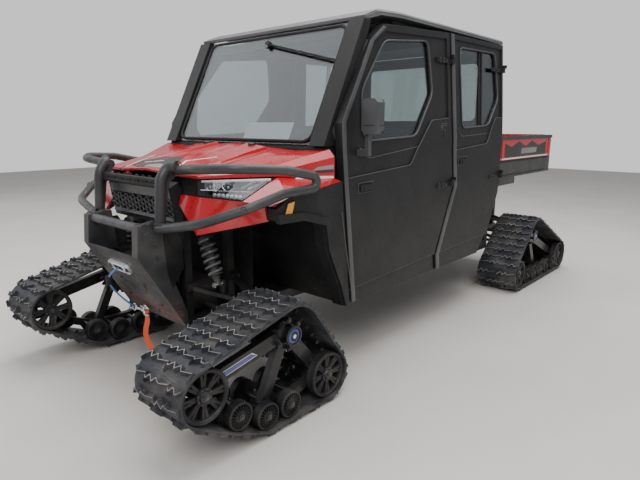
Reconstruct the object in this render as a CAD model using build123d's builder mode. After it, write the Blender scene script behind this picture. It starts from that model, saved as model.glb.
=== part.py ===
"""Tracked utility terrain vehicle: crew cab, four track units, bull bar with winch, tilting bed.

Millimetres.  +X is the vehicle's left, -Y its front, +Z up.  The ground is z = 0 and the origin
is the middle of the outline on the ground.  Tables give places along the vehicle as distances
behind the middle of its wheelbase.
"""
import math
import os

from build123d import *

os.makedirs("parts", exist_ok=True)

# Vehicle
WHEELBASE = 2870.0
TRACK_CENTRE_X = 703.0
TRACK_WIDTH = 318.0
HUB_Z = 410.0

# Belt and its lugs
BELT_THICKNESS = 10.0
LUG_HEIGHT = 22.0
LUG_ROOT = 34.0
LUG_TIP = 22.0
LUG_PITCH = 64.0
LUG_PHASE = 0.4

# Wheels of a track unit
IDLER_RADIUS = 112.0
ROAD_WHEEL_RADIUS = 62.0
SPROCKET_RADIUS = 138.0
SPROCKET_TEETH = 14
TOOTH_DEPTH = 18.0
TOOTH_WIDTH = 26.0
AXLE_RADIUS = 12.0
RUNNING_GAP = 0.3
SEAT_GAP = 0.3

BELT_FLOOR_Z = BELT_THICKNESS + LUG_HEIGHT
ROAD_WHEEL_Z = BELT_FLOOR_Z + ROAD_WHEEL_RADIUS
IDLER_Z = BELT_FLOOR_Z + IDLER_RADIUS

# Columns: distance behind the axle, height of the centre, radius, rows of discs, whether the belt
# bends round it
FRONT_UNIT_WHEELS = (
    (-481.0, 315.0, IDLER_RADIUS, "both", True),
    (-315.0, 160.0, ROAD_WHEEL_RADIUS, "outer", True),
    (-240.0, 127.0, ROAD_WHEEL_RADIUS, "inner", False),
    (-165.0, ROAD_WHEEL_Z, ROAD_WHEEL_RADIUS, "outer", True),
    (-96.0, ROAD_WHEEL_Z, ROAD_WHEEL_RADIUS, "inner", False),
    (-27.0, ROAD_WHEEL_Z, ROAD_WHEEL_RADIUS, "outer", False),
    (50.0, ROAD_WHEEL_Z, ROAD_WHEEL_RADIUS, "inner", False),
    (226.0, IDLER_Z, IDLER_RADIUS, "both", True),
)
REAR_UNIT_WHEELS = (
    (-301.0, IDLER_Z, IDLER_RADIUS, "both", True),
    (-130.0, ROAD_WHEEL_Z, ROAD_WHEEL_RADIUS, "outer", False),
    (-55.0, ROAD_WHEEL_Z, ROAD_WHEEL_RADIUS, "inner", False),
    (20.0, ROAD_WHEEL_Z, ROAD_WHEEL_RADIUS, "outer", False),
    (95.0, ROAD_WHEEL_Z, ROAD_WHEEL_RADIUS, "inner", False),
    (170.0, ROAD_WHEEL_Z, ROAD_WHEEL_RADIUS, "outer", False),
    (245.0, ROAD_WHEEL_Z, ROAD_WHEEL_RADIUS, "inner", False),
    (320.0, ROAD_WHEEL_Z, ROAD_WHEEL_RADIUS, "outer", False),
    (395.0, ROAD_WHEEL_Z, ROAD_WHEEL_RADIUS, "inner", False),
    (470.0, ROAD_WHEEL_Z, ROAD_WHEEL_RADIUS, "outer", False),
    (620.0, IDLER_Z, IDLER_RADIUS, "both", True),
)

BELT_BUILD_UP = BELT_THICKNESS + LUG_HEIGHT
FRONT_NOSE = -WHEELBASE / 2 + FRONT_UNIT_WHEELS[0][0] - IDLER_RADIUS - BELT_BUILD_UP
REAR_TAIL = WHEELBASE / 2 + REAR_UNIT_WHEELS[-1][0] + IDLER_RADIUS + BELT_BUILD_UP
MID_Y = -(FRONT_NOSE + REAR_TAIL) / 2
FRONT_AXLE_Y = MID_Y - WHEELBASE / 2
REAR_AXLE_Y = MID_Y + WHEELBASE / 2

# The wheelbase at which the tables were measured, and the two ends of the cab in them
TABLE_WHEELBASE = 2870.0
CAB_FRONT = -1100.0
CAB_REAR = 900.0


def along(behind):
    """Return the place of a table's distance: ahead of and behind the cab it follows the axles."""
    growth = (WHEELBASE - TABLE_WHEELBASE) / 2
    if behind < CAB_FRONT:
        return MID_Y + behind - growth
    if behind > CAB_REAR:
        return MID_Y + behind + growth
    return MID_Y + behind


# Places across a track unit
BELT_INNER_X = TRACK_CENTRE_X - TRACK_WIDTH / 2
BELT_OUTER_X = TRACK_CENTRE_X + TRACK_WIDTH / 2
WHEEL_FACE = 44.0
WHEEL_OUTER_X = BELT_OUTER_X - 12.0
WHEEL_INNER_X = BELT_INNER_X + 12.0
IDLER_RIM = 20.0
IDLER_HUB_RADIUS = 34.0
IDLER_SPOKES = 8
SPOKE_WIDTH = 16.0
SPROCKET_WIDTH = 90.0
UNIT_FRAME_X = 752.0
UNIT_FRAME_THICKNESS = 38.0
BEAM_WIDTH = 62.0
RAIL_WIDTH = 44.0
ARM_WIDTH = 36.0
POST_WIDTH = 50.0
HUB_CAP_X = 838.0
HUB_RADIUS = 45.0

# Knuckles and suspension
KINGPIN_X = TRACK_CENTRE_X - 103.0
KINGPIN_PIN_RADIUS = 10.0
PIN_CLEARANCE = 0.05
PIN_DEPTH = 30.0
KNUCKLE_INNER_X = KINGPIN_X - 30.0
KNUCKLE_OUTER_X = KINGPIN_X + 40.0
KNUCKLE_LENGTH = 90.0
KNUCKLE_HALF_HEIGHT = 70.0
KNUCKLE_CHAMFER = 18.0
FLANGE_X = KNUCKLE_OUTER_X + 15.0
FLANGE_RADIUS = 55.0
ARM_GAP = 8.0
ARM_SIZE = 28.0
ARM_SPREAD = 130.0
ARM_FLAT = 8.0
ARM_BUSH_RADIUS = 20.0
ARM_BUSH_LENGTH = 50.0
ARM_EYE = 52.0
UPPER_ARM_Z = 545.0
LOWER_ARM_Z = 350.0
SHOCK_TOP_X = 330.0
SHOCK_TOP_Z = 845.0
SHOCK_FOOT_X = 430.0
SHOCK_FOOT_Z = 585.0
SHOCK_EYE_RADIUS = 18.0
SHOCK_EYE_LENGTH = 40.0
SHOCK_BODY_RADIUS = 24.0
SPRING_RADIUS = 38.0
SPRING_FOOT = 75.0
SPRING_HEAD = 30.0
SHOCK_FOOT_WIDTH = 36.0
BRACKET_THICKNESS = 10.0
SHAFT_RADIUS = 15.0
SHAFT_GAP = 20.0
GEARCASE_HALF_WIDTH = 170.0
GEARCASE_HEIGHT = 140.0
GEARCASE_LENGTH = 180.0
GEARCASE_CHAMFER = 24.0

# Chassis
RAIL_X = 250.0
RAIL_SIZE = 50.0
RAIL_TOP = 385.0
SKID_THICKNESS = 8.0
FRAME_FRONT_Y = FRONT_AXLE_Y - 155.0
FRAME_REAR_Y = REAR_AXLE_Y + 500.0
TOWER_X = 230.0
TOWER_SIZE = 40.0
TOWER_TOP_Z = 860.0
RADIATOR_POST_X = 180.0
RADIATOR_POST_SIZE = 30.0
HOOD_EAR_X = RADIATOR_POST_X - 11.0
HOOD_EAR_HEIGHT = 14.0
HOOD_BARREL_X = RADIATOR_POST_X + 10.0
ENGINE_WIDTH = 400.0
ENGINE_HEIGHT = 400.0
ENGINE_ROOM = 100.0
SKID_SETBACK = 50.0
SKID_CORNER = 40.0
RECEIVER_OUTER = 64.0
RECEIVER_INNER = 51.0
RECEIVER_LENGTH = 130.0

# Cab
BODY_HALF_WIDTH = 737.0
TOP_HALF_WIDTH = 688.0
BELT_LINE_Z = 1214.0
ROOF_LINE_Z = 1880.0
SILL_Z = 405.0
DOOR_THICKNESS = 45.0
DOOR_GAP = 18.0
PANEL_RECESS = 9.0
DOOR_FRONT_Y = MID_Y - 900.0
CAB_REAR_Y = MID_Y + 885.0
FLOOR_THICKNESS = 12.0
FLOOR_TOP_Z = RAIL_TOP + FLOOR_THICKNESS
CAGE_TUBE = 50.0
CAGE_SIDE_GAP = 30.0
CAGE_LOW_X = BODY_HALF_WIDTH - DOOR_THICKNESS - CAGE_SIDE_GAP - CAGE_TUBE / 2
CAGE_TOP_X = TOP_HALF_WIDTH - DOOR_THICKNESS - CAGE_SIDE_GAP - CAGE_TUBE / 2
CAGE_TOP_Z = ROOF_LINE_Z - 30.0
CABIN_HALF_WIDTH = BODY_HALF_WIDTH - DOOR_THICKNESS - 22.0
FENDER_INNER_X = CABIN_HALF_WIDTH
FLARE_X = BODY_HALF_WIDTH + 18.0
PANEL = 12.0
ROOF_THICKNESS = 30.0
GLASS_THICKNESS = 6.0

# Door hinges: the pins lean inwards with the sides
HINGE_OUT = 15.0
HINGE_LOW_Z = 950.0
HINGE_HIGH_Z = 1700.0
FRONT_HINGE_Y = MID_Y + 100.0
REAR_HINGE_Y = MID_Y + 850.0
HINGE_PIN_RADIUS = 5.0
BARREL_RADIUS = 10.0
BARREL_LENGTH = 30.0
STRAP_LENGTH = 175.0
STRAP_THICKNESS = 4.0
LEG_HEIGHT = 24.0
LEG_THICKNESS = 4.0
EAR_THICKNESS = 8.0

# Cargo bed
BED_HALF_WIDTH = 701.0
BED_FRONT_Y = along(925.0)
BED_REAR_Y = along(1966.0)
BED_FLOOR_Z = 915.0
BED_FLOOR_THICKNESS = 30.0
BED_TOP_Z = 1234.0
BED_WALL = 35.0
BED_PIVOT_Y = BED_REAR_Y - 90.0
BED_PIVOT_Z = 885.0
BED_PIN_RADIUS = 10.0
BED_PIVOT_POST = 36.0
BED_BARREL_RADIUS = 18.0
BED_BARREL_X = 43.0
BED_BARREL_LENGTH = 30.0
GATE_PIN_RADIUS = 7.0
GATE_PIN_UP = 35.0
GATE_PIN_BACK = 24.0
BED_POST = 46.0
BED_POST_LENGTH = 44.0
GATE_THICKNESS = 30.0
GATE_GAP = 6.0


def export(part, name):
    """Label a finished piece and write its STEP file."""
    part.label = name
    export_step(part, f"parts/{name}.step")


def mirrored(part):
    """Return the same piece reflected to the vehicle's right side."""
    with BuildPart() as twin:
        mirror(part, about=Plane.YZ)
    return twin.part


def both_sides(part):
    """Return a piece together with its reflection."""
    with BuildPart() as pair:
        add(part)
        mirror(about=Plane.YZ)
    return pair.part


def side_plate(points, first_x, width):
    """Return a plate with an outline seen from the side: (behind mid wheelbase, height)."""
    with BuildPart() as plate:
        with BuildSketch(Plane.YZ.offset(first_x)):
            with BuildLine():
                Polyline(*[(along(behind), height) for behind, height in points], close=True)
            make_face()
        extrude(amount=width)
    return plate.part


def block(x_range, behind_range, z_range):
    """Return a plain block between two limits along each axis."""
    limits = (x_range, [along(behind) for behind in behind_range], z_range)
    with BuildPart() as solid:
        with Locations(Vector(*[sum(pair) / 2 for pair in limits])):
            Box(*[high - low for low, high in limits])
    return solid.part


def round_bar(start, end, radius):
    """Return a straight round bar between two points."""
    axis = Vector(*end) - Vector(*start)
    with BuildPart() as bar:
        with BuildSketch(Plane(origin=start, z_dir=axis)):
            Circle(radius)
        extrude(amount=axis.length)
    return bar.part


def square_bar(start, end, width, height):
    """Return a straight bar of rectangular section, its width level."""
    axis = Vector(*end) - Vector(*start)
    across = axis.cross(Vector(0, 0, 1))
    if across.length < 0.3 * axis.length:
        across = Vector(1, 0, 0) - axis * (axis.X / axis.length**2)
    with BuildPart() as bar:
        with BuildSketch(Plane(origin=start, x_dir=across, z_dir=axis)):
            Rectangle(width, height)
        extrude(amount=axis.length)
    return bar.part


def cord_bends(points):
    """Return the radius of each bend of a cord: as large as its two runs allow."""
    bends = []
    for before, corner, after in zip(points, points[1:], points[2:]):
        first = Vector(*corner) - Vector(*before)
        second = Vector(*after) - Vector(*corner)
        half_turn = math.radians(first.get_angle(second)) / 2
        bends.append(0.45 * min(first.length, second.length) / math.tan(half_turn))
    return bends


def bent_tube(points, widest_bend, radius):
    """Return a round tube along straight runs joined by bends, none wider than a limit."""
    bends = [min(bend, widest_bend) for bend in cord_bends(points)]
    with BuildPart() as tube:
        with BuildLine() as path:
            FilletPolyline(*points, radius=bends)
        with BuildSketch(Plane(origin=path.line @ 0, z_dir=path.line % 0)):
            Circle(radius)
        sweep(path=path.line)
    return tube.part


def side_slab(outer_inset, thickness, front_y, rear_y):
    """Return a slab with the body side's section, leaning inwards above the belt line."""
    low_x = BODY_HALF_WIDTH - outer_inset
    top_x = TOP_HALF_WIDTH - outer_inset
    with BuildPart() as slab:
        with BuildSketch(Plane.XZ.offset(-rear_y)):
            with BuildLine():
                Polyline(
                    (low_x - thickness, SILL_Z),
                    (low_x, SILL_Z),
                    (low_x, BELT_LINE_Z),
                    (top_x, ROOF_LINE_Z),
                    (top_x - thickness, ROOF_LINE_Z),
                    (low_x - thickness, BELT_LINE_Z),
                    close=True,
                )
            make_face()
        extrude(amount=rear_y - front_y)
    return slab.part


# Track units


def belt_path(axle_y, wheels):
    """Return the flat face inside a belt: the hull of its wheels and the sprocket."""
    with BuildSketch() as inside:
        for behind, height, radius, rows, corner in wheels:
            if corner:
                with Locations((axle_y + behind, height)):
                    Circle(radius)
        with Locations((axle_y, HUB_Z)):
            Circle(SPROCKET_RADIUS)
        make_hull()
    return inside.sketch


def track_belt(axle_y, wheels):
    """Return one belt with its lugs, as one closed loop."""
    inside = belt_path(axle_y, wheels)
    with BuildSketch() as band:
        add(inside)
        offset(amount=BELT_THICKNESS)
    outer = band.sketch.faces()[0].outer_wire()
    middle = band.sketch.center()
    count = round(outer.length / LUG_PITCH)
    root_depth = 1.0
    taper = math.degrees(math.atan2(LUG_HEIGHT, (LUG_ROOT - LUG_TIP) / 2))
    with BuildPart() as belt:
        with BuildSketch(Plane.YZ.offset(BELT_INNER_X)):
            add(band.sketch)
            for index in range(count):
                root = outer.position_at((index + LUG_PHASE) / count)
                way = outer.tangent_at((index + LUG_PHASE) / count)
                out = Vector(way.Y, -way.X, 0)
                if out.dot(root - middle) < 0:
                    out = -out
                foot = root + out * (LUG_HEIGHT - root_depth) / 2
                turn = math.degrees(math.atan2(out.Y, out.X)) - 90
                with Locations(Location((foot.X, foot.Y, 0), (0, 0, turn))):
                    Trapezoid(LUG_ROOT, LUG_HEIGHT + root_depth, taper)
            add(inside, mode=Mode.SUBTRACT)
        extrude(amount=TRACK_WIDTH)
    return belt.part


def spoked_face(radius):
    """Add the face of a spoked idler to the sketch at hand: rim, hub and paired spokes."""
    Circle(radius - RUNNING_GAP)
    Circle(radius - IDLER_RIM, mode=Mode.SUBTRACT)
    Circle(IDLER_HUB_RADIUS)
    reach = radius - IDLER_RIM / 2
    with PolarLocations(reach / 2, IDLER_SPOKES):
        Rectangle(reach, SPOKE_WIDTH)


def track_wheels(axle_y, wheels):
    """Return the wheels of a unit: their discs in two rows on axles, and the toothed sprocket."""
    with BuildPart() as rolling:
        for behind, height, radius, rows, corner in wheels:
            centre = Location((axle_y + behind, height, 0))
            if rows != "outer":
                with BuildSketch(Plane.YZ.offset(WHEEL_INNER_X)):
                    with Locations(centre):
                        Circle(radius - RUNNING_GAP)
                extrude(amount=WHEEL_FACE)
                with BuildSketch(Plane.YZ.offset(WHEEL_INNER_X + WHEEL_FACE)):
                    with Locations(centre):
                        Circle(AXLE_RADIUS)
                extrude(amount=UNIT_FRAME_X + UNIT_FRAME_THICKNESS - WHEEL_INNER_X - WHEEL_FACE)
            if rows != "inner":
                with BuildSketch(Plane.YZ.offset(WHEEL_OUTER_X - WHEEL_FACE)):
                    with Locations(centre):
                        if radius == IDLER_RADIUS:
                            spoked_face(radius)
                        else:
                            Circle(radius - RUNNING_GAP)
                extrude(amount=WHEEL_FACE)
                with BuildSketch(Plane.YZ.offset(UNIT_FRAME_X)):
                    with Locations(centre):
                        Circle(AXLE_RADIUS)
                extrude(amount=WHEEL_OUTER_X - WHEEL_FACE - UNIT_FRAME_X)
        with BuildSketch(Plane.YZ.offset(FLANGE_X)):
            with Locations((axle_y, HUB_Z)):
                RegularPolygon(SPROCKET_RADIUS - TOOTH_DEPTH, SPROCKET_TEETH)
                tooth_reach = SPROCKET_RADIUS - RUNNING_GAP
                with PolarLocations(tooth_reach - TOOTH_DEPTH, SPROCKET_TEETH):
                    with Locations((TOOTH_DEPTH / 2 - 2, 0)):
                        Rectangle(TOOTH_DEPTH, TOOTH_WIDTH)
        extrude(amount=SPROCKET_WIDTH)
        with BuildSketch(Plane.YZ.offset(FLANGE_X)):
            with Locations((axle_y, HUB_Z)):
                Circle(HUB_RADIUS)
        extrude(amount=HUB_CAP_X - FLANGE_X)
    return rolling.part


def track_frame(axle_y, wheels):
    """Return a unit's frame: bars from the hub to its rail, with a bore for each axle."""
    hub = Vector(axle_y, HUB_Z)
    ends = [Vector(axle_y + wheel[0], wheel[1]) for wheel in wheels]
    low_front, low_rear = ends[1], ends[-2]
    middle = (low_front + low_rear) / 2
    slots = ((hub, ends[0], BEAM_WIDTH), (hub, ends[-1], BEAM_WIDTH), (ends[3], low_rear, RAIL_WIDTH))
    bars = (
        (ends[0], low_front, ARM_WIDTH), (low_front, ends[3], RAIL_WIDTH),
        (low_rear, ends[-1], ARM_WIDTH), (hub, middle, POST_WIDTH),
    )
    with BuildPart() as frame:
        with BuildSketch(Plane.YZ.offset(UNIT_FRAME_X)):
            for start, end, width in slots:
                reach = end - start
                turn = math.degrees(math.atan2(reach.Y, reach.X))
                centre = (start + end) / 2
                with Locations(Location((centre.X, centre.Y, 0), (0, 0, turn))):
                    SlotCenterToCenter(reach.length, width)
            for start, end, width in bars:
                reach = end - start
                turn = math.degrees(math.atan2(reach.Y, reach.X))
                centre = (start + end) / 2
                with Locations(Location((centre.X, centre.Y, 0), (0, 0, turn))):
                    Rectangle(reach.length + 2 * AXLE_RADIUS, width)
            with Locations((hub.X, hub.Y)):
                Circle(HUB_RADIUS + 22)
                Circle(HUB_RADIUS + RUNNING_GAP, mode=Mode.SUBTRACT)
            with Locations([(end.X, end.Y) for end in ends]):
                Circle(AXLE_RADIUS + RUNNING_GAP, mode=Mode.SUBTRACT)
        extrude(amount=UNIT_FRAME_THICKNESS)
    return frame.part


TRACK_PIECES = (("belt", track_belt, "belts"), ("wheels", track_wheels, "wheels"), ("frame", track_frame, "frames"))
for piece, make, pair in TRACK_PIECES:
    front_piece = make(FRONT_AXLE_Y, FRONT_UNIT_WHEELS)
    export(front_piece, f"front_left_track_{piece}")
    export(mirrored(front_piece), f"front_right_track_{piece}")
    export(both_sides(make(REAR_AXLE_Y, REAR_UNIT_WHEELS)), f"rear_track_{pair}")

# Knuckles and suspension


def knuckle(axle_y):
    """Return a wheel carrier: an upright with sockets for its pins and a flange for the unit."""
    with BuildPart() as carrier:
        with BuildSketch(Plane.YZ.offset(KNUCKLE_INNER_X)):
            with Locations((axle_y, HUB_Z)):
                Rectangle(KNUCKLE_LENGTH, 2 * KNUCKLE_HALF_HEIGHT)
        extrude(amount=KNUCKLE_OUTER_X - KNUCKLE_INNER_X)
        chamfer(carrier.edges().filter_by(Axis.X), KNUCKLE_CHAMFER)
        with BuildSketch(Plane.YZ.offset(KNUCKLE_OUTER_X)):
            with Locations((axle_y, HUB_Z)):
                Circle(FLANGE_RADIUS)
        extrude(amount=FLANGE_X - KNUCKLE_OUTER_X)
        for side in (-1, 1):
            with Locations((KINGPIN_X, axle_y, HUB_Z + side * (KNUCKLE_HALF_HEIGHT - PIN_DEPTH / 2))):
                Cylinder(KINGPIN_PIN_RADIUS + PIN_CLEARANCE, PIN_DEPTH, mode=Mode.SUBTRACT)
    return carrier.part


# Columns: side of the hub, place across of the inner pivots, their height
ARM_ROWS = (
    (1, TOWER_X + TOWER_SIZE / 2 + ARM_BUSH_RADIUS, UPPER_ARM_Z),
    (-1, RAIL_X + RAIL_SIZE / 2 + ARM_BUSH_RADIUS, LOWER_ARM_Z),
)


def corner_arms(axle_y):
    """Return the upper and lower arms of one corner, each two legs meeting at a pin."""
    arms = []
    for side, inner_x, inner_z in ARM_ROWS:
        face_z = HUB_Z + side * (KNUCKLE_HALF_HEIGHT + ARM_GAP)
        joint_z = face_z + side * ARM_SIZE / 2
        pin_height = ARM_GAP + PIN_DEPTH - 2
        with BuildPart() as arm:
            for leg in (-1, 1):
                pivot = (inner_x, axle_y + leg * ARM_SPREAD, inner_z)
                add(square_bar(pivot, (KINGPIN_X, axle_y, joint_z), ARM_SIZE, ARM_SIZE - ARM_FLAT))
                with Locations(Location(pivot, (90, 0, 0))):
                    Cylinder(ARM_BUSH_RADIUS, ARM_BUSH_LENGTH)
            with Locations((KINGPIN_X, axle_y, joint_z)):
                Box(ARM_EYE, ARM_EYE, ARM_SIZE)
            with Locations((KINGPIN_X, axle_y, face_z - side * pin_height / 2)):
                Cylinder(KINGPIN_PIN_RADIUS, pin_height)
            if side > 0:
                leg_share = (SHOCK_FOOT_X - inner_x) / (KINGPIN_X - inner_x)
                leg_y = axle_y - ARM_SPREAD * (1 - leg_share)
                leg_z = inner_z + (joint_z - inner_z) * leg_share
                with Locations((SHOCK_FOOT_X, leg_y, (leg_z + SHOCK_FOOT_Z + SHOCK_EYE_RADIUS) / 2)):
                    Box(SHOCK_FOOT_WIDTH, BRACKET_THICKNESS, SHOCK_FOOT_Z + SHOCK_EYE_RADIUS - leg_z)
        arms.append(arm.part)
    return arms


# The shocks stand just ahead of the upper arms' front legs
SHOCK_LEG_SHARE = (SHOCK_FOOT_X - ARM_ROWS[0][1]) / (KINGPIN_X - ARM_ROWS[0][1])
SHOCK_BRACKET_Y = -ARM_SPREAD * (1 - SHOCK_LEG_SHARE)
SHOCK_Y = SHOCK_BRACKET_Y - BRACKET_THICKNESS / 2 - SHOCK_EYE_LENGTH / 2


def corner_shock(axle_y):
    """Return one damper with its spring as a sleeve, and an eye at each end."""
    y = axle_y + SHOCK_Y
    top = Vector(SHOCK_TOP_X, y, SHOCK_TOP_Z)
    foot = Vector(SHOCK_FOOT_X, y, SHOCK_FOOT_Z)
    way = (top - foot).normalized()
    with BuildPart() as shock:
        add(round_bar(foot, top, SHOCK_BODY_RADIUS - 6))
        add(round_bar(foot + way * SPRING_FOOT, top - way * SPRING_HEAD, SPRING_RADIUS))
        for eye in (foot, top):
            with Locations(Location(tuple(eye), (90, 0, 0))):
                Cylinder(SHOCK_EYE_RADIUS, SHOCK_EYE_LENGTH)
    return shock.part


AXLES_Y = (FRONT_AXLE_Y, REAR_AXLE_Y)

front_knuckle = knuckle(FRONT_AXLE_Y)
export(front_knuckle, "front_left_knuckle")
export(mirrored(front_knuckle), "front_right_knuckle")
export(both_sides(knuckle(REAR_AXLE_Y)), "rear_knuckles")

with BuildPart() as suspension_arms:
    for axle_y in AXLES_Y:
        add(corner_arms(axle_y))
    mirror(about=Plane.YZ)
export(suspension_arms.part, "suspension_arms")

with BuildPart() as shocks:
    for axle_y in AXLES_Y:
        add(corner_shock(axle_y))
    mirror(about=Plane.YZ)
export(shocks.part, "shocks")

with BuildPart() as axles:
    for axle_y in AXLES_Y:
        with Locations((0, axle_y, RAIL_TOP + GEARCASE_HEIGHT / 2)):
            Box(2 * GEARCASE_HALF_WIDTH, GEARCASE_LENGTH, GEARCASE_HEIGHT)
    chamfer(axles.edges().filter_by(Axis.Y).group_by(Axis.Z)[-1], GEARCASE_CHAMFER)
    for axle_y in AXLES_Y:
        shaft_end = KNUCKLE_INNER_X - SHAFT_GAP
        add(round_bar((-shaft_end, axle_y, HUB_Z), (shaft_end, axle_y, HUB_Z), SHAFT_RADIUS))
export(axles.part, "axles")

# Chassis

RAIL_Z = RAIL_TOP - RAIL_SIZE / 2
rail_length = FRAME_REAR_Y - FRAME_FRONT_Y
rail_mid = (FRAME_REAR_Y + FRAME_FRONT_Y) / 2
ENGINE_Y = (CAB_REAR_Y + REAR_AXLE_Y - ARM_SPREAD) / 2
SHOCK_BRACKET_X = (TOWER_X + SHOCK_TOP_X + SHOCK_EYE_RADIUS) / 2
HOOD_PIVOT_Y = along(-1600.0)
HOOD_PIVOT_Z = 1078.0
GRILLE_BACK = -1600.0
GRILLE_FOOT_Z = 873.0
RADIATOR_POST_Y = HOOD_PIVOT_Y + 50.0

with BuildPart() as chassis_frame:
    with Locations([(side * RAIL_X, rail_mid, RAIL_Z) for side in (-1, 1)]):
        Box(RAIL_SIZE, rail_length, RAIL_SIZE)
    crossings = (
        FRAME_FRONT_Y + RAIL_SIZE / 2, FRONT_AXLE_Y, DOOR_FRONT_Y, MID_Y, CAB_REAR_Y, ENGINE_Y,
        REAR_AXLE_Y, FRAME_REAR_Y - RAIL_SIZE / 2,
    )
    with Locations([(0, y, RAIL_Z) for y in crossings]):
        Box(2 * RAIL_X, RAIL_SIZE, RAIL_SIZE)
    for axle_y in AXLES_Y:
        for end in (-1, 1):
            y = axle_y + end * ARM_SPREAD
            with Locations([(side * TOWER_X, y, (RAIL_TOP + TOWER_TOP_Z) / 2) for side in (-1, 1)]):
                Box(TOWER_SIZE, TOWER_SIZE, TOWER_TOP_Z - RAIL_TOP)
            with Locations((0, y, TOWER_TOP_Z - TOWER_SIZE / 2)):
                Box(2 * TOWER_X, TOWER_SIZE, TOWER_SIZE)
        with Locations([(side * TOWER_X, axle_y, TOWER_TOP_Z - TOWER_SIZE / 2) for side in (-1, 1)]):
            Box(TOWER_SIZE, 2 * ARM_SPREAD, TOWER_SIZE)
        for side in (-1, 1):
            with Locations((side * SHOCK_BRACKET_X, axle_y + SHOCK_BRACKET_Y, SHOCK_TOP_Z - 5)):
                Box(SHOCK_TOP_X + SHOCK_EYE_RADIUS - TOWER_X, BRACKET_THICKNESS, 2 * SHOCK_EYE_RADIUS)
    post_height = HOOD_PIVOT_Z + 12 - RAIL_TOP
    for side in (-1, 1):
        with Locations((side * RADIATOR_POST_X, RADIATOR_POST_Y, RAIL_TOP + post_height / 2)):
            Box(RADIATOR_POST_SIZE, RADIATOR_POST_SIZE, post_height)
        with Locations((side * HOOD_EAR_X, (HOOD_PIVOT_Y + RADIATOR_POST_Y) / 2, HOOD_PIVOT_Z)):
            Box(EAR_THICKNESS, RADIATOR_POST_Y - HOOD_PIVOT_Y + HOOD_EAR_HEIGHT, HOOD_EAR_HEIGHT)
        grille_stop = along(GRILLE_BACK) + SEAT_GAP
        with Locations((side * RADIATOR_POST_X, (grille_stop + RADIATOR_POST_Y) / 2, GRILLE_FOOT_Z)):
            Box(RADIATOR_POST_SIZE, RADIATOR_POST_Y - grille_stop, 22)
        pin_start = side * HOOD_EAR_X
        pin_end = side * (HOOD_BARREL_X + BARREL_LENGTH / 2 + 7)
        pin_ends = [(x, HOOD_PIVOT_Y, HOOD_PIVOT_Z) for x in (pin_start, pin_end)]
        add(round_bar(*pin_ends, HINGE_PIN_RADIUS))
        post_top = BED_PIVOT_Z + BED_PIN_RADIUS + 4
        with Locations((side * RAIL_X, BED_PIVOT_Y, (RAIL_TOP + post_top) / 2)):
            Box(RAIL_SIZE, BED_PIVOT_POST, post_top - RAIL_TOP)
        pivot_end = side * (RAIL_X + BED_BARREL_X + BED_BARREL_LENGTH / 2 + 4)
        pivot_ends = [(x, BED_PIVOT_Y, BED_PIVOT_Z) for x in (side * RAIL_X, pivot_end)]
        add(round_bar(*pivot_ends, BED_PIN_RADIUS))
export(chassis_frame.part, "chassis_frame")

with BuildPart() as skid_plate:
    with BuildSketch(Plane.XY.offset(RAIL_TOP - RAIL_SIZE - SKID_THICKNESS)):
        with Locations((0, rail_mid)):
            Rectangle(2 * RAIL_X + RAIL_SIZE, rail_length - 2 * SKID_SETBACK)
    extrude(amount=SKID_THICKNESS)
    chamfer(skid_plate.edges().filter_by(Axis.Z), SKID_CORNER)
export(skid_plate.part, "skid_plate")

with BuildPart() as engine_block:
    with Locations((0, ENGINE_Y, RAIL_TOP + ENGINE_HEIGHT / 2)):
        Box(ENGINE_WIDTH, REAR_AXLE_Y - ARM_SPREAD - CAB_REAR_Y - ENGINE_ROOM, ENGINE_HEIGHT)
export(engine_block.part, "engine_block")

with BuildPart() as hitch_receiver:
    with BuildSketch(Plane.XZ.offset(-FRAME_REAR_Y)):
        with Locations((0, RAIL_Z)):
            Rectangle(RECEIVER_OUTER, RECEIVER_OUTER)
            Rectangle(RECEIVER_INNER, RECEIVER_INNER, mode=Mode.SUBTRACT)
    extrude(amount=-RECEIVER_LENGTH)
export(hitch_receiver.part, "hitch_receiver")

# Bull bar, winch and fairlead

BAR_TUBE = 21.0
BAR_BEND = 140.0
BAR_HOOP = (
    (288.0, -1740.0, 860.0),
    (560.0, -1704.0, 912.0),
    (700.0, -1560.0, 975.0),
    (744.0, -1385.0, 1028.0),
    (770.0, -1212.0, 1040.0),
    (770.0, -1212.0, 1092.0),
    (748.0, -1392.0, 1130.0),
    (660.0, -1590.0, 1142.0),
    (520.0, -1670.0, 1138.0),
    (294.0, -1640.0, 1118.0),
)
CROSS_TUBE = (-1793.0, 862.0)
PLATE_X = 214.0
PLATE_THICKNESS = 50.0
SHEET = 10.0
UPRIGHT_X = 284.0
WINCH_RADIUS = 42.0
WINCH_LENGTH = 340.0
bar_plate = (
    (-1834.0, 738.0), (-1822.0, 880.0), (-1700.0, 890.0), (-1680.0, 660.0),
    (-1590.0, 420.0), (-1590.0, 345.0), (-1600.0, 345.0),
)
center_sheet = ((-1834.0, 738.0), (-1600.0, 345.0), (-1590.0, 345.0), (-1822.0, 738.0))
upright = (
    (-1752.0, 880.0), (-1712.0, 1085.0), (-1640.0, 1128.0), (-1640.0, 1085.0), (-1672.0, 1066.0), (-1702.0, 880.0),
)

with BuildPart() as bull_bar:
    add(bent_tube([(x, along(y), z) for x, y, z in BAR_HOOP], BAR_BEND, BAR_TUBE))
    cross_ends = [(x, along(CROSS_TUBE[0]), CROSS_TUBE[1]) for x in (0, PLATE_X + 20)]
    add(round_bar(*cross_ends, BAR_TUBE + 1))
    add(side_plate(bar_plate, PLATE_X, PLATE_THICKNESS))
    add(side_plate(center_sheet, 0, PLATE_X + 10))
    add(side_plate(upright, UPRIGHT_X, SHEET))
    add(block((PLATE_X, UPRIGHT_X + 46), (-1752, -1700), (866, 890)))
    mirror(about=Plane.YZ)
export(bull_bar.part, "bull_bar")

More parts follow.
